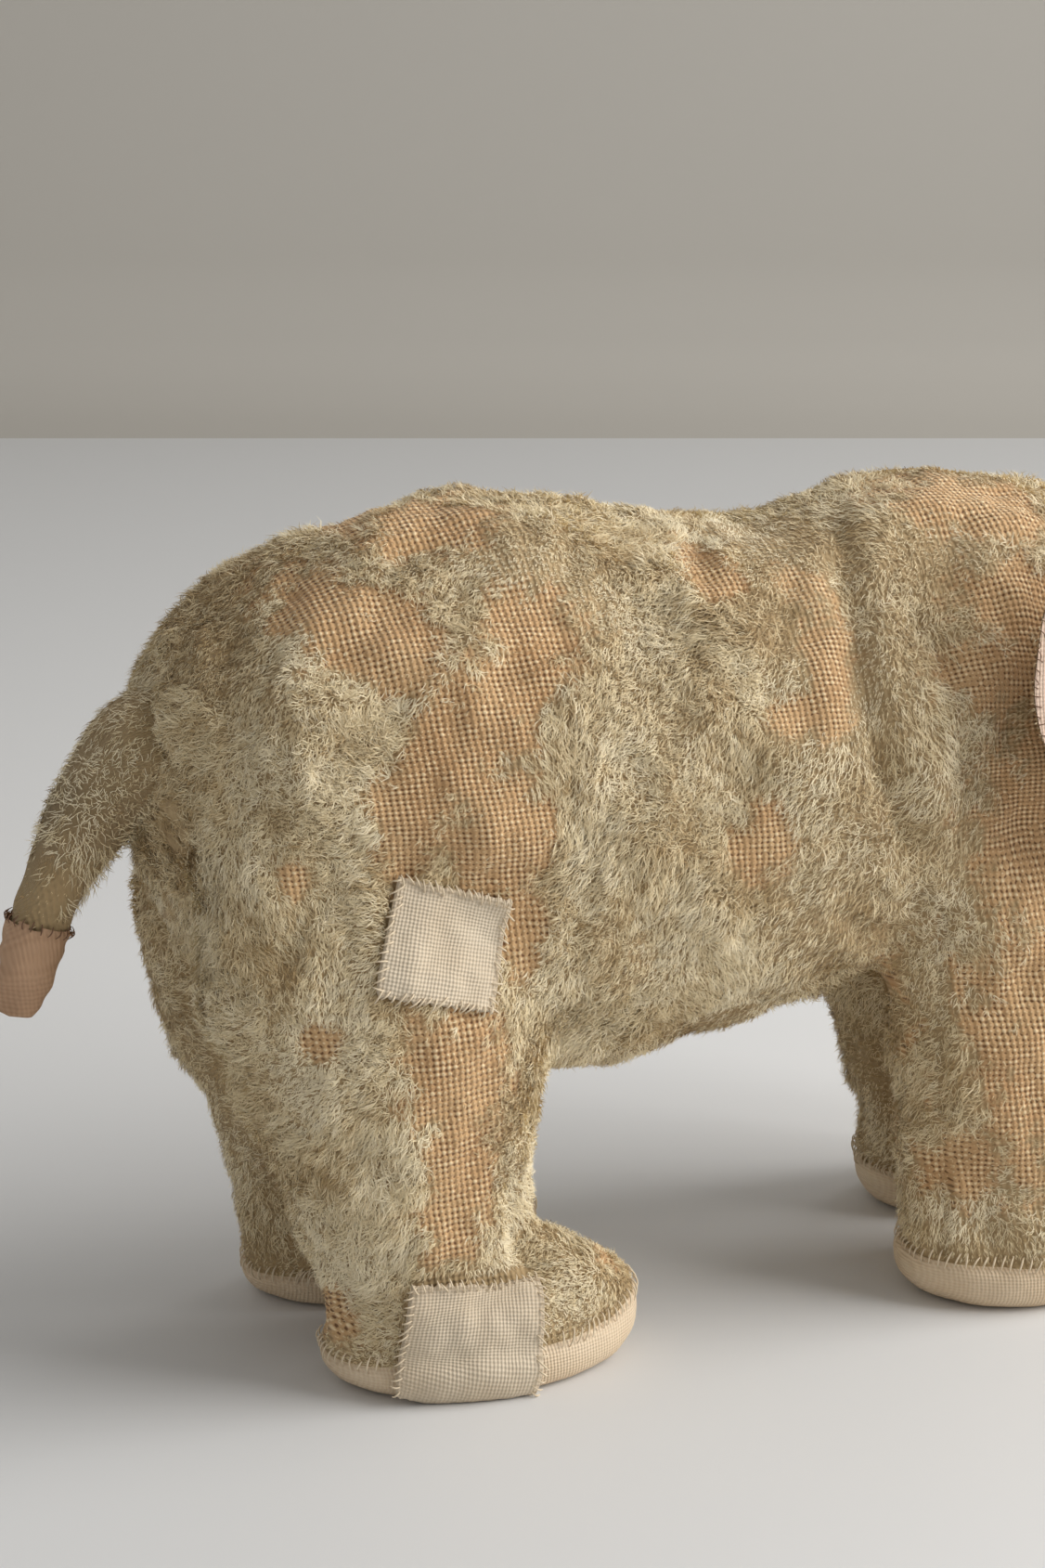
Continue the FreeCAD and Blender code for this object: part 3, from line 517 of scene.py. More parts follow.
for (leg, side), (middle, first, second) in PAD_SEAMS.items():
    for height, rise in (first, second):
        slice_by((middle, 0, height), Vector((-rise, 0, 1)).normalized(),
                 lambda c: c.z < 0.04 and (c.x < -0.01) == (leg == "hind") and (c.y < 0) == (side < 0))
slice_by((0, 0, 0), (0, 1, 0), lambda c: abs(c.y) < 0.004)
for side in (-1, 1):
    slice_by((0, side * 0.030, 0), (0, 1, 0),
             lambda c: c.z < 0.108 and c.x < 0.02 and abs(abs(c.y) - 0.03) < 0.004)
    slice_by((0, side * 0.044, 0), (0, 1, 0),
             lambda c: c.z < 0.102 and c.x > 0.01 and abs(abs(c.y) - 0.044) < 0.004)
    slice_by((0, side * 0.009, 0), (0, 1, 0), lambda c: c.x > 0.08 and abs(abs(c.y) - 0.009) < 0.004)
cutting.to_mesh(skin_mesh)
cutting.free()
skin_mesh.update()

PIECES = {
    "side_panel_right": "side_panel_right", "side_panel_left": "side_panel_left",
    "belly_gusset_right": "inner_legs_and_belly_right", "belly_gusset_left": "inner_legs_and_belly_left",
    "crown_gusset": "head_gusset", "under_chin_gusset": "chin_gusset",
    "pad_hind_right": "foot_pad_hind_right", "pad_hind_left": "foot_pad_hind_left",
    "pad_front_right": "foot_pad_front_right", "pad_front_left": "foot_pad_front_left",
}


def piece_of(centre):
    """Which pattern piece each face centre lies on, as an index into PIECES."""
    x, y, z = centre.T
    side = (y > 0).astype(int)
    gusset = ((np.abs(y) < 0.030) & (x < 0.02) & (z < 0.104))
    gusset |= ((np.abs(y) < 0.044) & (x >= 0.01) & (x < 0.124) & (z < 0.098))
    kind = np.where(gusset, 2 + side, side)
    line = np.interp(x, [0.092, 0.12, 0.143, 0.161, 0.175, 0.1815, 0.187],
                     [0.152, 0.15, 0.145, 0.125, 0.096, 0.067, 0.042])
    strip = (np.abs(y) < 0.009) & (x > 0.092) & ~gusset
    kind = np.where(strip & ((z > line) | (x > 0.187)), 4, kind)
    kind = np.where(strip & (z <= line) & (x > 0.122) & (x <= 0.187), 5, kind)
    pad = (z < 0.04) & (above_pad(centre) < 0)
    return np.where(pad, np.where(x < -0.01, 6, 8) + side, kind)


# ---------------------------------------------------------------- where the pile has worn off
# Places rubbed bare over the years: (x, z, half length, half height, turn in degrees, how bare), right side.
WORN_RIGHT = {
    "rump_top": (-0.095, 0.207, 0.018, 0.0060, 8, 0.85),
    "haunch_high": (-0.120, 0.187, 0.017, 0.0110, -30, 0.85),
    "haunch_low": (-0.111, 0.184, 0.013, 0.0110, -20, 0.9),
    "saddle": (-0.077, 0.183, 0.0130, 0.0110, -10, 1.0),
    "flank_band": (-0.094, 0.165, 0.030, 0.0115, 45, 1.0),
    "flank_spur": (-0.112, 0.146, 0.008, 0.016, 0, 0.85),
    "above_thigh_patch": (-0.089, 0.138, 0.0115, 0.019, 10, 0.95),
    "beside_thigh_patch": (-0.083, 0.116, 0.006, 0.016, 0, 0.8),
    "thigh": (-0.101, 0.083, 0.0145, 0.019, 0, 1.0),
    "shin": (-0.101, 0.057, 0.0105, 0.022, 0, 0.95),
    "rib_high": (-0.027, 0.195, 0.0080, 0.0055, -20, 0.85),
    "rib_crease": (-0.001, 0.173, 0.0065, 0.016, -12, 0.95),
    "rib_middle": (-0.009, 0.162, 0.0120, 0.0055, 6, 0.9),
    "rib_upper": (-0.006, 0.190, 0.006, 0.006, -30, 0.5),
    "rib_low": (-0.0215, 0.131, 0.0080, 0.0110, 10, 0.95),
    "rump_spot": (-0.138, 0.132, 0.0040, 0.0060, 0, 0.75),
    "stifle_spot": (-0.134, 0.094, 0.0050, 0.0055, 0, 0.85),
    "hump_row": (0.052, 0.206, 0.026, 0.0080, -8, 0.62),
    "shoulder_high": (0.056, 0.184, 0.020, 0.011, 0, 0.8),
    "shoulder_mid": (0.054, 0.169, 0.024, 0.010, 0, 1.0),
    "shoulder": (0.064, 0.130, 0.023, 0.035, 0, 1.0),
    "front_leg": (0.066, 0.075, 0.026, 0.042, 0, 1.0),
    "front_leg_rear": (0.022, 0.060, 0.006, 0.036, 0, 0.75),
    "front_shin": (0.040, 0.040, 0.009, 0.012, 0, 0.6),
    "heel": (-0.127, 0.020, 0.0075, 0.0080, 0, 0.6),
    "toe": (-0.056, 0.030, 0.0045, 0.0075, 0, 0.6),
}
WORN_LEFT = {
    "rump_top": (-0.112, 0.209, 0.019, 0.0070, -12, 0.8),
    "flank": (-0.095, 0.165, 0.024, 0.011, 30, 0.9),
    "thigh": (-0.104, 0.090, 0.013, 0.026, 0, 0.9),
    "rib": (-0.020, 0.172, 0.013, 0.010, 10, 0.8),
    "shoulder": (0.066, 0.135, 0.022, 0.034, 0, 0.9),
    "front_leg": (0.080, 0.060, 0.020, 0.034, 0, 0.8),
    "inner_hind": (-0.118, 0.060, 0.014, 0.024, 0, 0.55),
}


def worn(points):
    """0 where the pile stands full and 1 where it is bare: ragged ellipses, the flanks each with their own."""
    bare = np.zeros(len(points))
    ragged = 0.20 * waves(points, 0.012, 11) + 0.16 * waves(points, 0.0045, 12) + 0.14 * waves(points, 0.0021, 15)
    for side, places in ((-1, WORN_RIGHT), (1, WORN_LEFT)):
        mine = ramp(points[:, 1] * side, -0.012, 0.0)
        for x, z, long, tall, turn, strength in places.values():
            dx, dz = points[:, 0] - x, points[:, 2] - z
            cos, sin = math.cos(math.radians(turn)), math.sin(math.radians(turn))
            away = np.hypot((dx * cos + dz * sin) / long, (dz * cos - dx * sin) / tall)
            bare = np.maximum(bare, mine * strength * (1 - ramp(away + ragged, 0.50, 1.40)))
    face = ramp(points[:, 0], 0.150, 0.185) * 0.6 * ramp(waves(points, 0.03, 13), -0.4, 0.6)
    thin = 0.22 * ramp(waves(points, 0.028, 14), 0.25, 1.3)
    return np.maximum.reduce([bare, face, thin])


def weave_place(points):
    """Where a point lies on the cloth, in metres: along the body, and round it up to the spine."""
    x, y, z = points.T
    round_back = 0.066 * np.arctan2(z - 0.140, np.abs(y) + 1e-4) + 0.140
    share = ramp(z, 0.100, 0.150)
    return np.stack([x + 0.12 * z, z * (1 - share) + round_back * share], axis=-1)


# ---------------------------------------------------------------- backing cloth
# Tan cotton backing with painted shade in the gap at every tuft; where the pile still stands it takes one dark
# colour, painted shade for the shadow under the pile.
def maths(tree, operation, first, second=None, third=None, clamp=False):
    """A Math node's output; each value is a number or a socket."""
    node = tree.nodes.new("ShaderNodeMath")
    node.operation = operation
    node.use_clamp = clamp
    for socket, value in zip(node.inputs, (first, second, third)):
        if value is None:
            continue
        if isinstance(value, (int, float)):
            socket.default_value = value
        else:
            tree.links.new(value, socket)
    return node.outputs[0]


weave_group = bpy.data.node_groups.new("tuft_weave", "ShaderNodeTree")
weave_group.interface.new_socket("Pitch", in_out="INPUT", socket_type="NodeSocketFloat")
weave_group.interface.new_socket("Gap", in_out="OUTPUT", socket_type="NodeSocketFloat")
weave_group.interface.new_socket("Tuft", in_out="OUTPUT", socket_type="NodeSocketFloat")
weave_group.interface.new_socket("Chance", in_out="OUTPUT", socket_type="NodeSocketFloat")
weave_in = weave_group.nodes.new("NodeGroupInput")
weave_out = weave_group.nodes.new("NodeGroupOutput")
weave_uv = weave_group.nodes.new("ShaderNodeUVMap")
weave_uv.uv_map = "weave"
weave_drift = weave_group.nodes.new("ShaderNodeTexNoise")
weave_drift.inputs["Scale"].default_value = 420.0
weave_group.links.new(weave_uv.outputs[0], weave_drift.inputs["Vector"])
weave_shift = weave_group.nodes.new("ShaderNodeVectorMath")
weave_shift.operation = "MULTIPLY_ADD"
weave_group.links.new(maths(weave_group, "DIVIDE", 2.3, weave_in.outputs["Pitch"]), weave_shift.inputs[1])
weave_group.links.new(weave_drift.outputs["Color"], weave_shift.inputs[0])
weave_group.links.new(weave_uv.outputs[0], weave_shift.inputs[2])
weave_split = weave_group.nodes.new("ShaderNodeSeparateXYZ")
weave_group.links.new(weave_shift.outputs[0], weave_split.inputs[0])
across = maths(weave_group, "MULTIPLY", weave_split.outputs["X"], weave_in.outputs["Pitch"])
upward = maths(weave_group, "MULTIPLY", weave_split.outputs["Y"], weave_in.outputs["Pitch"])
across_wave = maths(weave_group, "COSINE", across)
upward_wave = maths(weave_group, "COSINE", upward)
both = maths(weave_group, "MULTIPLY", maths(weave_group, "ADD", across_wave, upward_wave), 0.5)
weave_group.links.new(both, weave_out.inputs["Gap"])
weave_cell = weave_group.nodes.new("ShaderNodeVectorMath")
weave_cell.operation = "SCALE"
weave_group.links.new(weave_shift.outputs[0], weave_cell.inputs[0])
weave_group.links.new(maths(weave_group, "MULTIPLY", weave_in.outputs["Pitch"], 0.5 / math.pi),
                      weave_cell.inputs["Scale"])
weave_floor = weave_group.nodes.new("ShaderNodeVectorMath")
weave_floor.operation = "FLOOR"
weave_group.links.new(weave_cell.outputs[0], weave_floor.inputs[0])
weave_chance = weave_group.nodes.new("ShaderNodeTexWhiteNoise")
weave_chance.noise_dimensions = "2D"
weave_group.links.new(weave_floor.outputs[0], weave_chance.inputs["Vector"])
weave_group.links.new(weave_chance.outputs["Value"], weave_out.inputs["Chance"])
weave_group.links.new(maths(weave_group, "MULTIPLY", both, -1.0), weave_out.inputs["Tuft"])


def cloth_backing(name, tan, tan_deep, shade, stub, gap_shade):
    """Mohair backing: painted shade under standing pile, tan with painted shade in the gaps and with stubs where
    it is worn.
    """
    material = bpy.data.materials.new(name)
    material.use_nodes = True
    tree = material.node_tree
    shader = tree.nodes["Principled BSDF"]
    shader.inputs["Roughness"].default_value = 0.9
    shader.inputs["Sheen Weight"].default_value = 0.1
    weave = tree.nodes.new("ShaderNodeGroup")
    weave.node_tree = weave_group
    weave.inputs["Pitch"].default_value = 2 * math.pi / 0.00155
    place = tree.nodes.new("ShaderNodeTexCoord")
    soil = tree.nodes.new("ShaderNodeTexNoise")
    soil.inputs["Scale"].default_value = 70.0
    soil.inputs["Detail"].default_value = 5.0
    tree.links.new(place.outputs["Object"], soil.inputs["Vector"])
    mix_soil = tree.nodes.new("ShaderNodeMix")
    mix_soil.data_type = "RGBA"
    mix_soil.inputs["A"].default_value = (*tan, 1)
    mix_soil.inputs["B"].default_value = (*tan_deep, 1)
    soiled = maths(tree, "MULTIPLY_ADD", soil.outputs["Fac"], 2.4, -0.75, clamp=True)
    tree.links.new(soiled, mix_soil.inputs["Factor"])
    # painted shade: the darkest colour fills the gap beside each tuft, where the weave lies in shadow
    mix_gap_shade = tree.nodes.new("ShaderNodeMix")
    mix_gap_shade.data_type = "RGBA"
    mix_gap_shade.inputs["B"].default_value = (*gap_shade, 1)
    tree.links.new(mix_soil.outputs["Result"], mix_gap_shade.inputs["A"])
    gap_less = maths(tree, "MULTIPLY", weave.outputs["Chance"], 1.5)
    gap_shade_share = maths(tree, "MULTIPLY_ADD", weave.outputs["Gap"], 2.4, -0.3)
    gap_shade_share = maths(tree, "SUBTRACT", gap_shade_share, gap_less, clamp=True)
    tree.links.new(gap_shade_share, mix_gap_shade.inputs["Factor"])
    mix_stub = tree.nodes.new("ShaderNodeMix")
    mix_stub.data_type = "RGBA"
    mix_stub.inputs["B"].default_value = (*stub, 1)
    tree.links.new(mix_gap_shade.outputs["Result"], mix_stub.inputs["A"])
    stub_less = maths(tree, "MULTIPLY", weave.outputs["Chance"], 1.7)
    stub_share = maths(tree, "MULTIPLY_ADD", weave.outputs["Tuft"], 2.0, 0.0)
    stub_share = maths(tree, "SUBTRACT", stub_share, stub_less, clamp=True)
    tree.links.new(stub_share, mix_stub.inputs["Factor"])
    # painted shade: where the pile still stands the backing takes the shade colour, the shadow under the pile; the
    # worn share brings back the tan cloth
    worn_share = tree.nodes.new("ShaderNodeAttribute")
    worn_share.attribute_name = "worn"
    mix_pile_shade_or_worn = tree.nodes.new("ShaderNodeMix")
    mix_pile_shade_or_worn.data_type = "RGBA"
    mix_pile_shade_or_worn.inputs["A"].default_value = (*shade, 1)
    tree.links.new(mix_stub.outputs["Result"], mix_pile_shade_or_worn.inputs["B"])
    tree.links.new(worn_share.outputs["Fac"], mix_pile_shade_or_worn.inputs["Factor"])
    tree.links.new(mix_pile_shade_or_worn.outputs["Result"], shader.inputs["Base Color"])
    bump = tree.nodes.new("ShaderNodeBump")
    bump.inputs["Strength"].default_value = 0.7
    bump.inputs["Distance"].default_value = 0.0004
    tree.links.new(weave.outputs["Tuft"], bump.inputs["Height"])
    tree.links.new(bump.outputs["Normal"], shader.inputs["Normal"])
    return material


# the fourth colour is painted shade under the pile, the last colour painted shade in the tuft gaps
backing_material = cloth_backing("mohair_backing", (0.62, 0.40, 0.20), (0.50, 0.29, 0.13), (0.40, 0.285, 0.145),
                                 (0.86, 0.67, 0.41), (0.17, 0.08, 0.03))


def duck(name, light, deep, pitch, strength=0.6):
    """Cotton duck: a plain weave of fine yarns, two crossed waves in its own UV, with slight soiling and painted
    shade between the yarns.
    """
    material = bpy.data.materials.new(name)
    material.use_nodes = True
    tree = material.node_tree
    shader = tree.nodes["Principled BSDF"]
    shader.inputs["Roughness"].default_value = 0.85
    weave = tree.nodes.new("ShaderNodeGroup")
    weave.node_tree = weave_group
    weave.inputs["Pitch"].default_value = 2 * math.pi / pitch
    place = tree.nodes.new("ShaderNodeTexCoord")
    soil = tree.nodes.new("ShaderNodeTexNoise")
    soil.inputs["Scale"].default_value = 55.0
    soil.inputs["Detail"].default_value = 6.0
    tree.links.new(place.outputs["Object"], soil.inputs["Vector"])
    # painted shade: the gaps between the yarns lean towards the deep colour; the soil noise is the soiling
    share = maths(tree, "MULTIPLY_ADD", weave.outputs["Tuft"], -0.22, 0.0)
    both = maths(tree, "ADD", share, soil.outputs["Fac"])
    spread = maths(tree, "MULTIPLY_ADD", both, 1.8, -0.45, clamp=True)
    mix = tree.nodes.new("ShaderNodeMix")
    mix.data_type = "RGBA"
    mix.inputs["A"].default_value = (*light, 1)
    mix.inputs["B"].default_value = (*deep, 1)
    tree.links.new(spread, mix.inputs["Factor"])
    tree.links.new(mix.outputs["Result"], shader.inputs["Base Color"])
    bump = tree.nodes.new("ShaderNodeBump")
    bump.inputs["Strength"].default_value = strength
    bump.inputs["Distance"].default_value = 0.00025
    tree.links.new(weave.outputs["Tuft"], bump.inputs["Height"])
    tree.links.new(bump.outputs["Normal"], shader.inputs["Normal"])
    return material


pad_material = duck("duck_pads", (0.76, 0.62, 0.45), (0.65, 0.49, 0.32), 0.0009)
patch_material = duck("duck_patches", (0.70, 0.60, 0.46), (0.60, 0.485, 0.345), 0.0009)
tail_patch_material = duck("duck_tail_sleeve", (0.54, 0.34, 0.21), (0.42, 0.25, 0.145), 0.0011)
lining_material = duck("ear_lining_cloth", (0.78, 0.60, 0.48), (0.68, 0.50, 0.38), 0.0009)

# ---------------------------------------------------------------- skin: the pieces
# Each piece is its own cloth, edge to edge with its neighbours at the sewn seams.
skin_points, skin_normals = arrays(skin_mesh)
skin_faces = [tuple(polygon.vertices) for polygon in skin_mesh.polygons]
face_middle = np.zeros(len(skin_faces) * 3)
skin_mesh.polygons.foreach_get("center", face_middle)
face_kind = piece_of(face_middle.reshape(-1, 3))
body_tree = BVHTree.FromPolygons(skin_points.tolist(), skin_faces)


def taken(faces, wanted):
    """The wanted faces renumbered, and the indices of the points that they use."""
    chosen = [face for face, keep in zip(faces, wanted) if keep]
    used, renumbered = np.unique(np.concatenate([np.array(face) for face in chosen]), return_inverse=True)
    sizes = np.cumsum([len(face) for face in chosen])[:-1]
    return used, [tuple(int(i) for i in part) for part in np.split(renumbered, sizes)]


def add_cloth_maps(obj, points):
    """The weave's own UV map, and for mohair how worn each point is."""
    places = weave_place(points)
    corner = np.zeros(len(obj.data.loops), int)
    obj.data.loops.foreach_get("vertex_index", corner)
    layer = obj.data.uv_layers.new(name="weave")
    layer.data.foreach_set("uv", places[corner].ravel())
    attribute = obj.data.attributes.new("worn", "FLOAT", "POINT")
    attribute.data.foreach_set("value", ramp(worn(points), 0.12, 0.6).astype(np.float32))


skin_pieces = {}
for number, (name, node) in enumerate(PIECES.items()):
    used, faces = taken(skin_faces, face_kind == number)
    is_pad = name.startswith("pad_")
    piece = mesh_object(name, skin_points[used], faces, [pad_material if is_pad else backing_material])
    add_cloth_maps(piece, skin_points[used])
    piece.data.normals_split_custom_set_from_vertices(skin_normals[used].tolist())
    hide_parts(node)
    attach(piece, "body")
    skin_pieces[name] = (piece, skin_points[used], skin_normals[used], faces)

# ---------------------------------------------------------------- tail
# A stuffed mohair tube that hangs from the rump, its frayed end bound in a cotton sleeve.
tail_turns = np.linspace(0, 2 * np.pi, 48, endpoint=False)
tail_points, tail_faces = bent_tube(TAIL, grow=-0.0014, turns=-tail_turns, steps=80)
tail_points = tail_points + waves(tail_points, 0.011, 21)[:, None] * np.array([0.0004, 0.0004, 0.0001])
tail_rise = np.array([np.sin(np.radians(20)), 0, np.cos(np.radians(20))])
tail_cut = np.array([-0.188, 0, 0.1145])
face_at = np.array([tail_points[list(face)].mean(axis=0) for face in tail_faces])
over_cut = (face_at - tail_cut) @ tail_rise
tail_parts = {}
for name, node, keep, material, slot_name in (
        ("tail_mohair", "tail_skin", over_cut > -0.003, backing_material, "mohair"),
        ("tail_sleeve", "tail_patch_sleeve", over_cut < 0.0, tail_patch_material, "cotton_duck")):
    used, faces = taken(tail_faces, keep)
    place = tail_points[used].copy()
    if name == "tail_sleeve":
        at = np.interp(place[:, 2], TAIL[::-1, 1] * MM, TAIL[::-1, 0] * MM)
        spine = np.stack([at, np.zeros(len(at)), place[:, 2]], axis=-1)
        outward = (place - spine) / np.maximum(np.linalg.norm(place - spine, axis=1), 1e-5)[:, None]
        wrinkle = 0.00035 * waves(place, 0.006, 22) + 0.0006 * np.maximum(0, waves(place * (1, 1, 0.4), 0.009, 23))
        place = place + outward * (0.0009 + wrinkle)[:, None]
    part = mesh_object(name, place, faces, [material])
    add_cloth_maps(part, place)
    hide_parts(node)
    part.data.update()
    tail_parts[name] = (part, *arrays(part.data), faces)

# ---------------------------------------------------------------- ears
# Two leaves each, mohair behind and thin cotton in front, sewn round the rim and hanging back along the neck.
EAR_RIM = np.array([(0, 27), (14, 38), (30, 43), (48, 41), (61, 34), (67, 22),
                    (67, 8), (65, -5), (61, -18), (52, -29), (38, -39),
                    (22, -44), (8, -37), (0, -24)]) * MM
ear_parts = {}
for side, word in ((-1, "right"), (1, "left")):
    lie = math.radians(14.5)
    back_way = np.array([-math.cos(lie), side * math.sin(lie), 0.0])
    out_way = np.array([math.sin(lie), side * math.cos(lie), 0.0])
    root_top, root_bottom = EAR_RIM[0], EAR_RIM[-1]
    v = np.linspace(0, 1, 61)
    u = np.linspace(0, 1, 41)
    keys = np.linspace(0, 1, len(EAR_RIM))
    rim = spline(keys, EAR_RIM, v)
    root = root_top + (root_bottom - root_top) * v[:, None]
    flat = root[:, None] * (1 - u[:, None]) + rim[:, None] * u[:, None]
    back, up = flat[..., 0], flat[..., 1]
    cup = 0.004 * np.sin(np.clip(back / 0.067, 0, 1) * np.pi) + 0.0035 * (np.abs(up) / 0.043) ** 2 * (back / 0.05)
    ruffle = 0.0012 * np.sin(v[:, None] * 23 + 1.2 * side) * u ** 3
    for name, node, offset, material, slot_name in (
            (f"ear_mohair_{word}", f"ear_back_{word}", 0.0006, backing_material, "mohair"),
            (f"ear_cotton_{word}", f"ear_lining_{word}", 0.0024, lining_material, "ear_cotton")):
        puff = offset - (0.0008 if offset > 0.001 else -0.0006) * u ** 6
        off = cup + ruffle + puff
        ear_root = np.array([0.108, side * 0.047, 0.165])
        grid = ear_root + back[..., None] * back_way + off[..., None] * out_way
        grid = grid + up[..., None] * np.array([0, 0, 1.0])
        index = np.arange(grid.shape[0] * grid.shape[1]).reshape(grid.shape[:2])
        quads = np.stack([index[:-1, :-1], index[1:, :-1], index[1:, 1:], index[:-1, 1:]], axis=-1).reshape(-1, 4)
        facing_out = (side < 0) != (offset < 0.001)
        if not facing_out:
            quads = quads[:, ::-1]
        ear = mesh_object(name, grid.reshape(-1, 3), quads, [material])
        add_cloth_maps(ear, grid.reshape(-1, 3))
        # painted shade: a fixed worn share of 0.35, so the ear backing is mostly the painted shade under the pile
        ear.data.attributes["worn"].data.foreach_set("value",
                                                     np.full(grid.shape[0] * grid.shape[1], 0.35, np.float32))
        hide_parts(node)
        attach(ear, f"ear_{word}")
        ear_parts[name] = (ear, *arrays(ear.data), quads.tolist())
    ear_parts[word] = (grid[:, -1], out_way, back_way)

# ---------------------------------------------------------------- eyes
# Black shoe buttons on wire shanks, kept from the CAD.
button_material = plain("black_button", (0.012, 0.010, 0.009), 0.12, coat=0.6)
wire_material = plain("shank_wire", (0.45, 0.42, 0.38), 0.35, metallic=1.0)
card_material = plain("grey_card", (0.42, 0.36, 0.28), 0.9)
for word in ("right", "left"):
    for node, material in ((f"eye_{word}", button_material), (f"eye_shank_{word}", wire_material),
                           (f"insole_hind_{word}", card_material), (f"insole_front_{word}", card_material)):
        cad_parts[node].data.materials.clear()
        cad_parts[node].data.materials.append(material)

# ---------------------------------------------------------------- mending patches
# Squares of cotton duck laid over holes in the right thigh and the right hind foot, raw edges showing.
MENDS = {   # node, middle as (x, z), width, height, turn in degrees, how far it stands off the skin
    "thigh_mend": ("thigh_patch", (-0.104, 0.114), 0.0295, 0.027, 15, 0.0015),
    "foot_mend": ("foot_patch", (-0.0975, 0.0150), 0.033, 0.034, 7, 0.0024),
}


def on_body(point, way):
    """Where a line from point along way first meets the skin, and the skin's outward normal there."""
    hit, normal, _, _ = body_tree.ray_cast(Vector(point), Vector(way), 0.12)
    if hit is None:
        hit, normal, _, _ = body_tree.find_nearest(Vector(point))
    return np.array(hit), np.array(normal)


def under_patch(points):
    """True where a point on the right hind leg lies under one of the two mending squares."""
    covered = np.zeros(len(points), bool)
    for _, (x, z), wide, tall, turn, _ in MENDS.values():
        cos, sin = math.cos(math.radians(turn)), math.sin(math.radians(turn))
        s = (points[:, 0] - x) * cos - (points[:, 2] - z) * sin
        t = (points[:, 0] - x) * sin + (points[:, 2] - z) * cos
        covered |= (np.abs(s) < wide / 2 - 0.0004) & (np.abs(t) < tall / 2 - 0.0004) & (points[:, 1] < -0.036)
    return covered


patch_edges = {}
for name, (node, centre, wide, tall, turn, stand_off) in MENDS.items():
    cells = 44
    a = np.linspace(-0.5, 0.5, cells)
    cos, sin = math.cos(math.radians(turn)), math.sin(math.radians(turn))
    grid = np.zeros((cells, cells, 3))
    facing = np.zeros((cells, cells, 3))
    for i, down in enumerate(a):
        for j, along in enumerate(a):
            fray = 0.00035 * math.sin(37 * (down + 2 * along)) + 0.00025 * math.sin(91 * (along - 1.3 * down))
            s, t = along * wide + fray * (abs(along) > 0.47), down * tall + fray * (abs(down) > 0.47)
            x, z = centre[0] + s * cos + t * sin, centre[1] - s * sin + t * cos
            if name == "thigh_mend":
                point, normal = on_body((x, -0.1, z), (0, 1, 0))
            else:
                turn_down = (z - 0.0155) / 0.026
                way = np.array([0, math.cos(turn_down), -math.sin(turn_down)])
                point, normal = on_body(np.array([x, -0.031, 0.0155]) - way * 0.05, way)
            grid[i, j], facing[i, j] = point, normal
    for _ in range(40):
        around = (grid[:-2, 1:-1] + grid[2:, 1:-1] + grid[1:-1, :-2] + grid[1:-1, 2:]) / 4
        grid[1:-1, 1:-1] += 0.5 * (around - grid[1:-1, 1:-1])
        grid[1:-1, ::43] += 0.5 * ((grid[:-2, ::43] + grid[2:, ::43]) / 2 - grid[1:-1, ::43])
    for i in range(cells):
        for j in range(cells):
            near, normal, _, _ = body_tree.find_nearest(Vector(grid[i, j]))
            over = float(np.dot(grid[i, j] - np.array(near), np.array(normal)))
            if over < 0:
                grid[i, j] = np.array(near)
    for _ in range(8):
        around = (grid[:-2, 1:-1] + grid[2:, 1:-1] + grid[1:-1, :-2] + grid[1:-1, 2:]) / 4
        grid[1:-1, 1:-1] += 0.5 * (around - grid[1:-1, 1:-1])
    for _ in range(20):
        facing[1:-1, 1:-1] = (facing[:-2, 1:-1] + facing[2:, 1:-1] + facing[1:-1, :-2] + facing[1:-1, 2:]) / 4
        facing[1:-1, ::43] = (facing[:-2, ::43] + facing[2:, ::43]) / 2
        facing[::43, 1:-1] = (facing[::43, :-2] + facing[::43, 2:]) / 2
    facing /= np.linalg.norm(facing, axis=2, keepdims=True)
    puff = stand_off + 0.0005 * (1 - (2 * a[:, None]) ** 4) * (1 - (2 * a[None, :]) ** 4)
    pucker = 0.00008 * waves(grid.reshape(-1, 3), 0.0055, 31).reshape(cells, cells)
    grid = grid + facing * (puff + pucker)[..., None]
    grid[..., 2] = np.maximum(grid[..., 2], 0.0003)
    index = np.arange(cells * cells).reshape(cells, cells)
    quads = np.stack([index[:-1, :-1], index[:-1, 1:], index[1:, 1:], index[1:, :-1]], axis=-1).reshape(-1, 4)
    patch = mesh_object(name, grid.reshape(-1, 3), quads, [patch_material])
    layer = patch.data.uv_layers.new(name="weave")
    corner = np.zeros(len(patch.data.loops), int)
    patch.data.loops.foreach_get("vertex_index", corner)
    own = np.stack(np.meshgrid(a * wide, a * tall), axis=-1).reshape(-1, 2)
    layer.data.foreach_set("uv", own[corner].ravel())
    thick = patch.modifiers.new("cloth", "SOLIDIFY")
    thick.thickness = 0.0007
    thick.offset = -1.0
    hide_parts(node)
    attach(patch, "body")
    patch_edges[name] = (grid, facing)

# ---------------------------------------------------------------- sewing thread
# Whip stitches in cream thread round every pad and patch, darker thread on the tail and the ears.
cream_thread = plain("cream_thread", (0.72, 0.60, 0.43), 0.7)
dark_thread = plain("dark_thread", (0.17, 0.09, 0.05), 0.75)
STITCH_RING = np.linspace(0, 2 * np.pi, 6, endpoint=False)


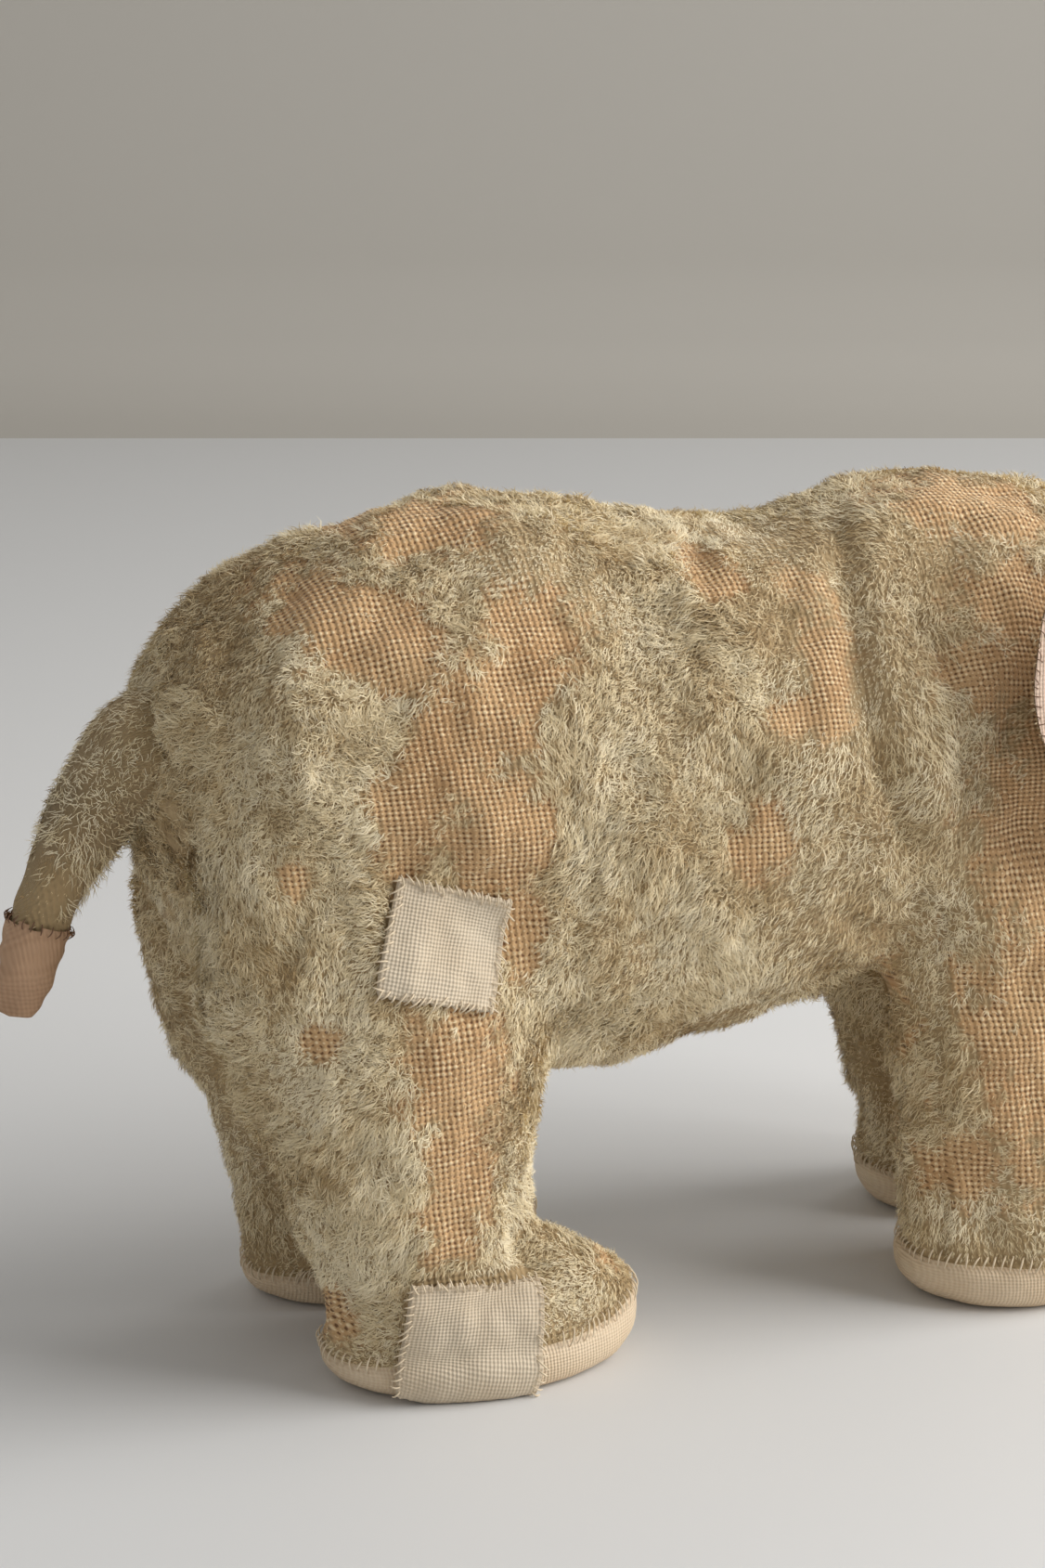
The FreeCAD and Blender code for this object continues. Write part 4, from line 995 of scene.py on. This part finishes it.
def stitches(name, ends, radius, material, node, body="body", lift=0.00045):
    """Short bowed threads. ends is rows of (start, end, outward); each is a six-sided tube of five rings."""
    all_points, all_faces = [], []
    for start, end, outward in ends:
        along = end - start
        sideways = np.cross(along, outward)
        sideways /= max(np.linalg.norm(sideways), 1e-9)
        t = np.linspace(0, 1, 5)
        bow = 4 * t * (1 - t)
        middle = start + along * t[:, None] + outward * (lift * bow - 0.0004 * (1 - bow))[:, None]
        thick = radius * (0.55 + 0.45 * bow)
        rings = (middle[:, None] + thick[:, None, None] * (np.cos(STITCH_RING)[:, None] * sideways
                                                           + np.sin(STITCH_RING)[:, None] * outward))
        points, faces = closed_tube(rings, middle[0], middle[-1])
        shift = sum(len(p) for p in all_points)
        all_points.append(points)
        all_faces += [tuple(i + shift for i in face) for face in faces]
    obj = mesh_object(name, np.concatenate(all_points), all_faces, [material])
    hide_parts(node)
    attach(obj, body)


def even_run(run, pitch):
    """Points at even spacing along a polyline, with their indices as fractions."""
    step = np.linalg.norm(np.diff(run, axis=0), axis=1)
    length = np.concatenate([[0], np.cumsum(step)])
    count = max(2, int(length[-1] / pitch))
    return np.interp((np.arange(count) + 0.5) / count * length[-1], length, np.arange(len(run)))


def between(rows, at):
    """Rows of an array at fractional indices."""
    low = np.clip(at.astype(int), 0, len(rows) - 2)
    return rows[low] + (rows[low + 1] - rows[low]) * (at - low)[:, None]


sewing = np.random.default_rng(41)
for (leg, side), (middle, first, second) in PAD_SEAMS.items():
    word = "left" if side > 0 else "right"
    out = 0.031 * side
    run, facing = [], []
    for turn in np.linspace(0, 2 * np.pi, 181):
        way = np.array([-math.cos(turn), -math.sin(turn), 0.0])
        height = 0.011
        for _ in range(5):
            hit, normal = on_body(np.array([middle, out, height]) - way * 0.07, way)
            height = float(seam_height(hit[None], leg, side)[0])
        run.append(hit)
        facing.append(normal)
    run, facing = np.array(run), np.array(facing)
    at = even_run(run, 0.0023)
    seat, normal = between(run, at), between(facing, at)
    normal /= np.linalg.norm(normal, axis=1)[:, None]
    tangent = between(np.roll(run, -1, axis=0) - run, at)
    tangent[-1] = tangent[-2]
    tangent /= np.linalg.norm(tangent, axis=1)[:, None]
    upward = np.cross(normal, tangent)
    upward *= np.sign(upward[:, 2:3])
    slant = sewing.normal(0.7, 0.25, len(seat))[:, None] * 0.001
    reach_up = sewing.uniform(0.0016, 0.0030, len(seat))[:, None]
    reach_down = sewing.uniform(0.0010, 0.0018, len(seat))[:, None]
    ends = zip(seat - upward * reach_down - tangent * slant + normal * 0.0007,
               seat + upward * reach_up + tangent * slant + normal * 0.0020, normal)
    in_patch = (lambda p: leg == "hind" and side < 0 and -0.118 < p[0] < -0.0775 and p[1] < -0.034)
    stitches(f"whip_stitches_{leg}_{word}", [row for row in ends if not in_patch(row[0])], 0.00027, cream_thread,
             f"stitches_pad_{leg}_{word}")

for name, node, open_side in (("thigh_mend", "stitches_thigh_patch", None),
                              ("foot_mend", "stitches_foot_patch", "low")):
    grid, facing = patch_edges[name]
    rows = []
    for label, run, inner, normal in (("high", grid[-1], grid[-6], facing[-1]),
                                      ("low", grid[0], grid[5], facing[0]),
                                      ("rear", grid[:, 0], grid[:, 5], facing[:, 0]),
                                      ("fore", grid[:, -1], grid[:, -6], facing[:, -1])):
        if label == open_side:
            continue
        at = even_run(run, 0.0020)
        seat, inside, out = between(run, at), between(inner, at), between(normal, at)
        inward = (inside - seat) / np.linalg.norm(inside - seat, axis=1)[:, None]
        along = np.gradient(seat, axis=0)
        along /= np.linalg.norm(along, axis=1)[:, None]
        lean = sewing.normal(0.0008, 0.0005, len(seat))[:, None]
        depth = sewing.uniform(0.0012, 0.0026, len(seat))[:, None]
        past = sewing.uniform(0.0006, 0.0015, len(seat))[:, None]
        rows += list(zip(seat + inward * depth + along * lean,
                         seat - inward * past - along * lean + out * 0.0008, out))
    stitches(f"{name}_stitches", rows, 0.00024, cream_thread, node)

closing = []
for x in np.arange(-0.062, -0.018, 0.0035):
    low, normal = on_body((x, -0.0017, 0.03), (0, 0, 1))
    high, _ = on_body((x + 0.001, 0.0017, 0.03), (0, 0, 1))
    closing.append((low - [0, 0, 0.0003], high - [0, 0, 0.0003], normal))
stitches("belly_seam_stitches", closing, 0.00025, cream_thread, "stitches_closing_seam")

ring_ends = []
sleeve_axis = np.cross(tail_rise, [0, 1.0, 0])
for turn in np.arange(0, 2 * np.pi, 2 * np.pi / 22):
    outward = math.cos(turn) * sleeve_axis + math.sin(turn) * np.array([0, 1.0, 0])
    seat = tail_cut + outward * 0.0082
    drift = np.cross(outward, tail_rise) * sewing.normal(0, 0.0005)
    ring_ends.append((seat - tail_rise * 0.0014 - drift, seat + tail_rise * 0.0013 + drift, outward))
stitches("tail_sleeve_stitches", ring_ends, 0.0002, dark_thread, "stitches_tail_sleeve", "tail")

for side, word in ((-1, "right"), (1, "left")):
    rim, out_way, back_way = ear_parts[word]
    at = even_run(rim, 0.0024)
    seat = between(rim, at)
    middle = rim.mean(axis=0)
    inward = middle - seat
    inward /= np.linalg.norm(inward, axis=1)[:, None]
    jitter = sewing.uniform(0.0008, 0.0024, len(seat))
    slant = sewing.normal(0.0010, 0.0006, len(seat))
    rows = [(s + i * j + t * k, s - i * 0.0006 + out_way * 0.0002, out_way)
            for s, i, t, j, k in zip(seat, inward, np.cross(inward, out_way), jitter, slant)]
    stitches(f"ear_rim_stitches_{word}", rows, 0.00014, dark_thread, f"stitches_ear_{word}", f"ear_{word}")

# ---------------------------------------------------------------- pile
# Mohair tufts: fine flat strands in soft locks, brushed back and down, short and thin where they are worn.
# Tones are one plain material each.
PILE_TONES = {
    "mohair_straw": (0.92, 0.81, 0.575),
    "mohair_beige": (0.85, 0.72, 0.465),
    "mohair_olive": (0.72, 0.575, 0.34),
    "mohair_shade": (0.52, 0.37, 0.18),
    "stub_tan": (0.60, 0.395, 0.19),
    "stub_yellow": (0.86, 0.69, 0.42),
}
pile_materials = [plain(name, colour, 0.72, sheen=0.1) for name, colour in PILE_TONES.items()]
STRANDS = 62000


def unit(rows):
    return rows / np.maximum(np.linalg.norm(rows, axis=1), 1e-9)[:, None]


def lock_random(points, cell, seed):
    """Four even random numbers from 0 to 1 for the lock that each point falls in; locks are warped cells."""
    warped = points + np.stack([waves(points, cell * 4, seed + k) for k in range(3)], axis=-1) * cell * 0.6
    key = np.floor(warped / cell).astype(np.int64)
    mixed = (key[:, 0] * 73856093) ^ (key[:, 1] * 19349663) ^ (key[:, 2] * 83492791) ^ (seed * 2654435)
    return np.stack([
        (np.sin(mixed % 100003 * (12.9898 + 7.1 * k) + k) * 43758.5453) % 1.0 for k in range(4)], axis=-1)


def grow_pile(name, points, normals, faces, count, seed, length=0.0036, bare=worn):
    """Strands rooted at random on a surface: root pair, middle pair and tip, three triangles each."""
    rng = np.random.default_rng(seed)
    tris = np.array([(f[0], f[k], f[k + 1]) for f in faces for k in range(1, len(f) - 1)])
    a, b, c = (points[tris[:, k]] for k in range(3))
    area = np.linalg.norm(np.cross(b - a, c - a), axis=1) / 2
    centres = (a + b + c) / 3
    density = (1 - 0.80 * ramp(bare(centres), 0.25, 0.8)) * ~under_patch(centres)
    reach = np.cumsum(area * density)
    pick = np.searchsorted(reach, rng.uniform(0, reach[-1], count))
    r1, r2 = np.sqrt(rng.uniform(size=count)), rng.uniform(size=count)
    shares = np.stack([1 - r1, r1 * (1 - r2), r1 * r2], axis=-1)
    root = sum(points[tris[pick, k]] * shares[:, k:k + 1] for k in range(3))
    normal = unit(sum(normals[tris[pick, k]] * shares[:, k:k + 1] for k in range(3)))
    bald = bare(root)
    lock = lock_random(root, 0.0022, seed)
    wide_lock = lock_random(root, 0.009, seed + 9)
    nap = np.stack([-0.55 + 0.6 * waves(root, 0.045, 51), 0.45 * waves(root, 0.05, 52),
                    -0.62 + 0.55 * waves(root, 0.045, 53)], axis=-1)
    way = nap + 1.15 * (lock[:, :3] - 0.5) + 0.75 * (wide_lock[:, :3] - 0.5) + 0.35 * rng.normal(size=(count, 3))
    way = unit(way - normal * np.sum(way * normal, axis=1)[:, None])
    side = np.cross(normal, way)
    fullness = 0.85 + 0.25 * waves(root, 0.05, 55)
    near_pad = np.where(root[:, 2] < 0.05, 0.4 + 0.6 * ramp(above_pad(root), 0.001, 0.012), 1.0)
    long = (length * fullness * near_pad * (0.7 + 0.35 * lock[:, 3] + 0.3 * rng.uniform(size=count))
            * (1 - 0.72 * ramp(bald, 0.15, 0.75)))
    lean = np.radians(33 + 18 * (lock[:, 2] - 0.5) + 10 * rng.normal(size=count) + 28 * ramp(bald, 0.3, 0.8))
    curl = rng.normal(0, 0.26, count)[:, None]
    first = np.cos(lean)[:, None] * way + np.sin(lean)[:, None] * normal + curl * side
    lean_tip = lean - np.radians(16 + 12 * rng.uniform(size=count))
    second = np.cos(lean_tip)[:, None] * way + np.sin(lean_tip)[:, None] * normal - 1.6 * curl * side
    place = weave_place(root)
    near = (np.floor(place / 0.00155) + 0.5) * 0.00155
    along_x = unit(np.array([1.0, 0, 0]) - normal * normal[:, 0:1])
    along_z = unit(np.array([0, 0, 1.0]) - normal * normal[:, 2:3])
    pull = (near - place) * (0.35 + 0.45 * ramp(bald, 0.05, 0.4))[:, None]
    steep = (np.abs(normal[:, 2]) < 0.8)[:, None]
    root = root + steep * (along_x * pull[:, 0:1] + along_z * pull[:, 1:2]) - normal * 0.0002
    middle = root + unit(first) * (long * 0.52)[:, None]
    tip = middle + unit(second) * (long * 0.5)[:, None]
    roll = rng.normal(0, 0.45, count)[:, None]
    flat = unit(np.cos(roll) * side + np.sin(roll) * normal)
    flat *= np.sign(np.sum(np.cross(flat, unit(first)) * normal, axis=1))[:, None]
    half = (rng.uniform(0.00008, 0.00013, count) * (1 - 0.15 * ramp(bald, 0.3, 0.8)))[:, None]
    corners = np.stack([root - flat * half, root + flat * half,
                        middle - flat * half * 0.85, middle + flat * half * 0.85, tip],
                       axis=1).reshape(-1, 3)
    corners[:, 2] = np.maximum(corners[:, 2], 0.0004)
    base = np.arange(count)[:, None] * 5
    strands = np.stack([base + [0, 1, 3], base + [0, 3, 2], base + [2, 3, 4]], axis=1).reshape(-1, 3)
    facing = np.cross(flat, unit(first))
    shade_way = unit(0.75 * normal + 0.5 * facing + 0.16 * rng.normal(size=(count, 3)))
    tone = 0.95 * lock[:, 3] + 0.5 * rng.uniform(size=count) + 0.35 * waves(root, 0.03, 54) + 0.25
    index = 3 - np.digitize(tone, [0.45, 0.85, 1.30])
    index = np.where(bald > 0.5, np.where(rng.uniform(size=count) < 0.45, 4, 5), index)
    mesh = bpy.data.meshes.new(name)
    mesh.vertices.add(count * 5)
    mesh.vertices.foreach_set("co", corners.ravel())
    mesh.loops.add(count * 9)
    mesh.loops.foreach_set("vertex_index", strands.ravel().astype(np.int32))
    mesh.polygons.add(count * 3)
    mesh.polygons.foreach_set("loop_start", np.arange(count * 3, dtype=np.int32) * 3)
    mesh.polygons.foreach_set("material_index", np.repeat(index, 3).astype(np.int32))
    for material in pile_materials:
        mesh.materials.append(material)
    mesh.update(calc_edges=True)
    mesh.polygons.foreach_set("use_smooth", np.ones(count * 3, bool))
    mesh.normals_split_custom_set_from_vertices(np.repeat(shade_way, 5, axis=0).tolist())
    obj = bpy.data.objects.new(name, mesh)
    scene.collection.objects.link(obj)
    return obj


# the right side panel carries three lots of strands by length along the body, the left two
for name, cuts in (("side_panel_right", (-0.098, -0.02)), ("side_panel_left", (-0.06, 0.04)),
                   ("belly_gusset_right", ()), ("belly_gusset_left", ())):
    piece, points, normals, faces = skin_pieces[name]
    middle = np.array([points[list(face)].mean(axis=0)[0] for face in faces])
    edges = [-1.0, *cuts, 1.0]
    for number, (low, high) in enumerate(zip(edges[:-1], edges[1:]), 1):
        part = [face for face, x in zip(faces, middle) if low <= x < high]
        share = 0.62 if "belly" in name else 1.0
        pile = grow_pile(f"pile_{name}_{number}", points, normals, part, int(STRANDS * share),
                         100 + number + 10 * len(name))
        pile.parent = piece
for name, count in (("crown_gusset", 0.16), ("under_chin_gusset", 0.08)):
    piece, points, normals, faces = skin_pieces[name]
    pile = grow_pile(f"pile_{name}", points, normals, faces, int(STRANDS * count), 300 + len(name))
    pile.parent = piece


def tail_worn(points):
    """The tail is rubbed on its upper side, above the sleeve."""
    return 0.9 * ramp(-(points[:, 0] + 0.182) - 0.55 * (points[:, 2] - 0.130), -0.001, 0.004) * ramp(
        waves(points, 0.010, 61), -1.4, -0.2)


part, points, normals, faces = tail_parts["tail_mohair"]
tail_pile = grow_pile("pile_tail", points, normals, faces, int(STRANDS * 0.10), 401, 0.0038, tail_worn)
for word in ("right", "left"):
    part, points, normals, faces = ear_parts[f"ear_mohair_{word}"]
    pile = grow_pile(f"pile_ear_{word}", points, normals, faces, int(STRANDS * 0.12), 402, 0.0022,
                     lambda p: np.full(len(p), 0.2))
    pile.parent = part

for obj in (tail_parts["tail_mohair"][0], tail_parts["tail_sleeve"][0], tail_pile):
    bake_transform(obj)

# ---------------------------------------------------------------- sizes
low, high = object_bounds()
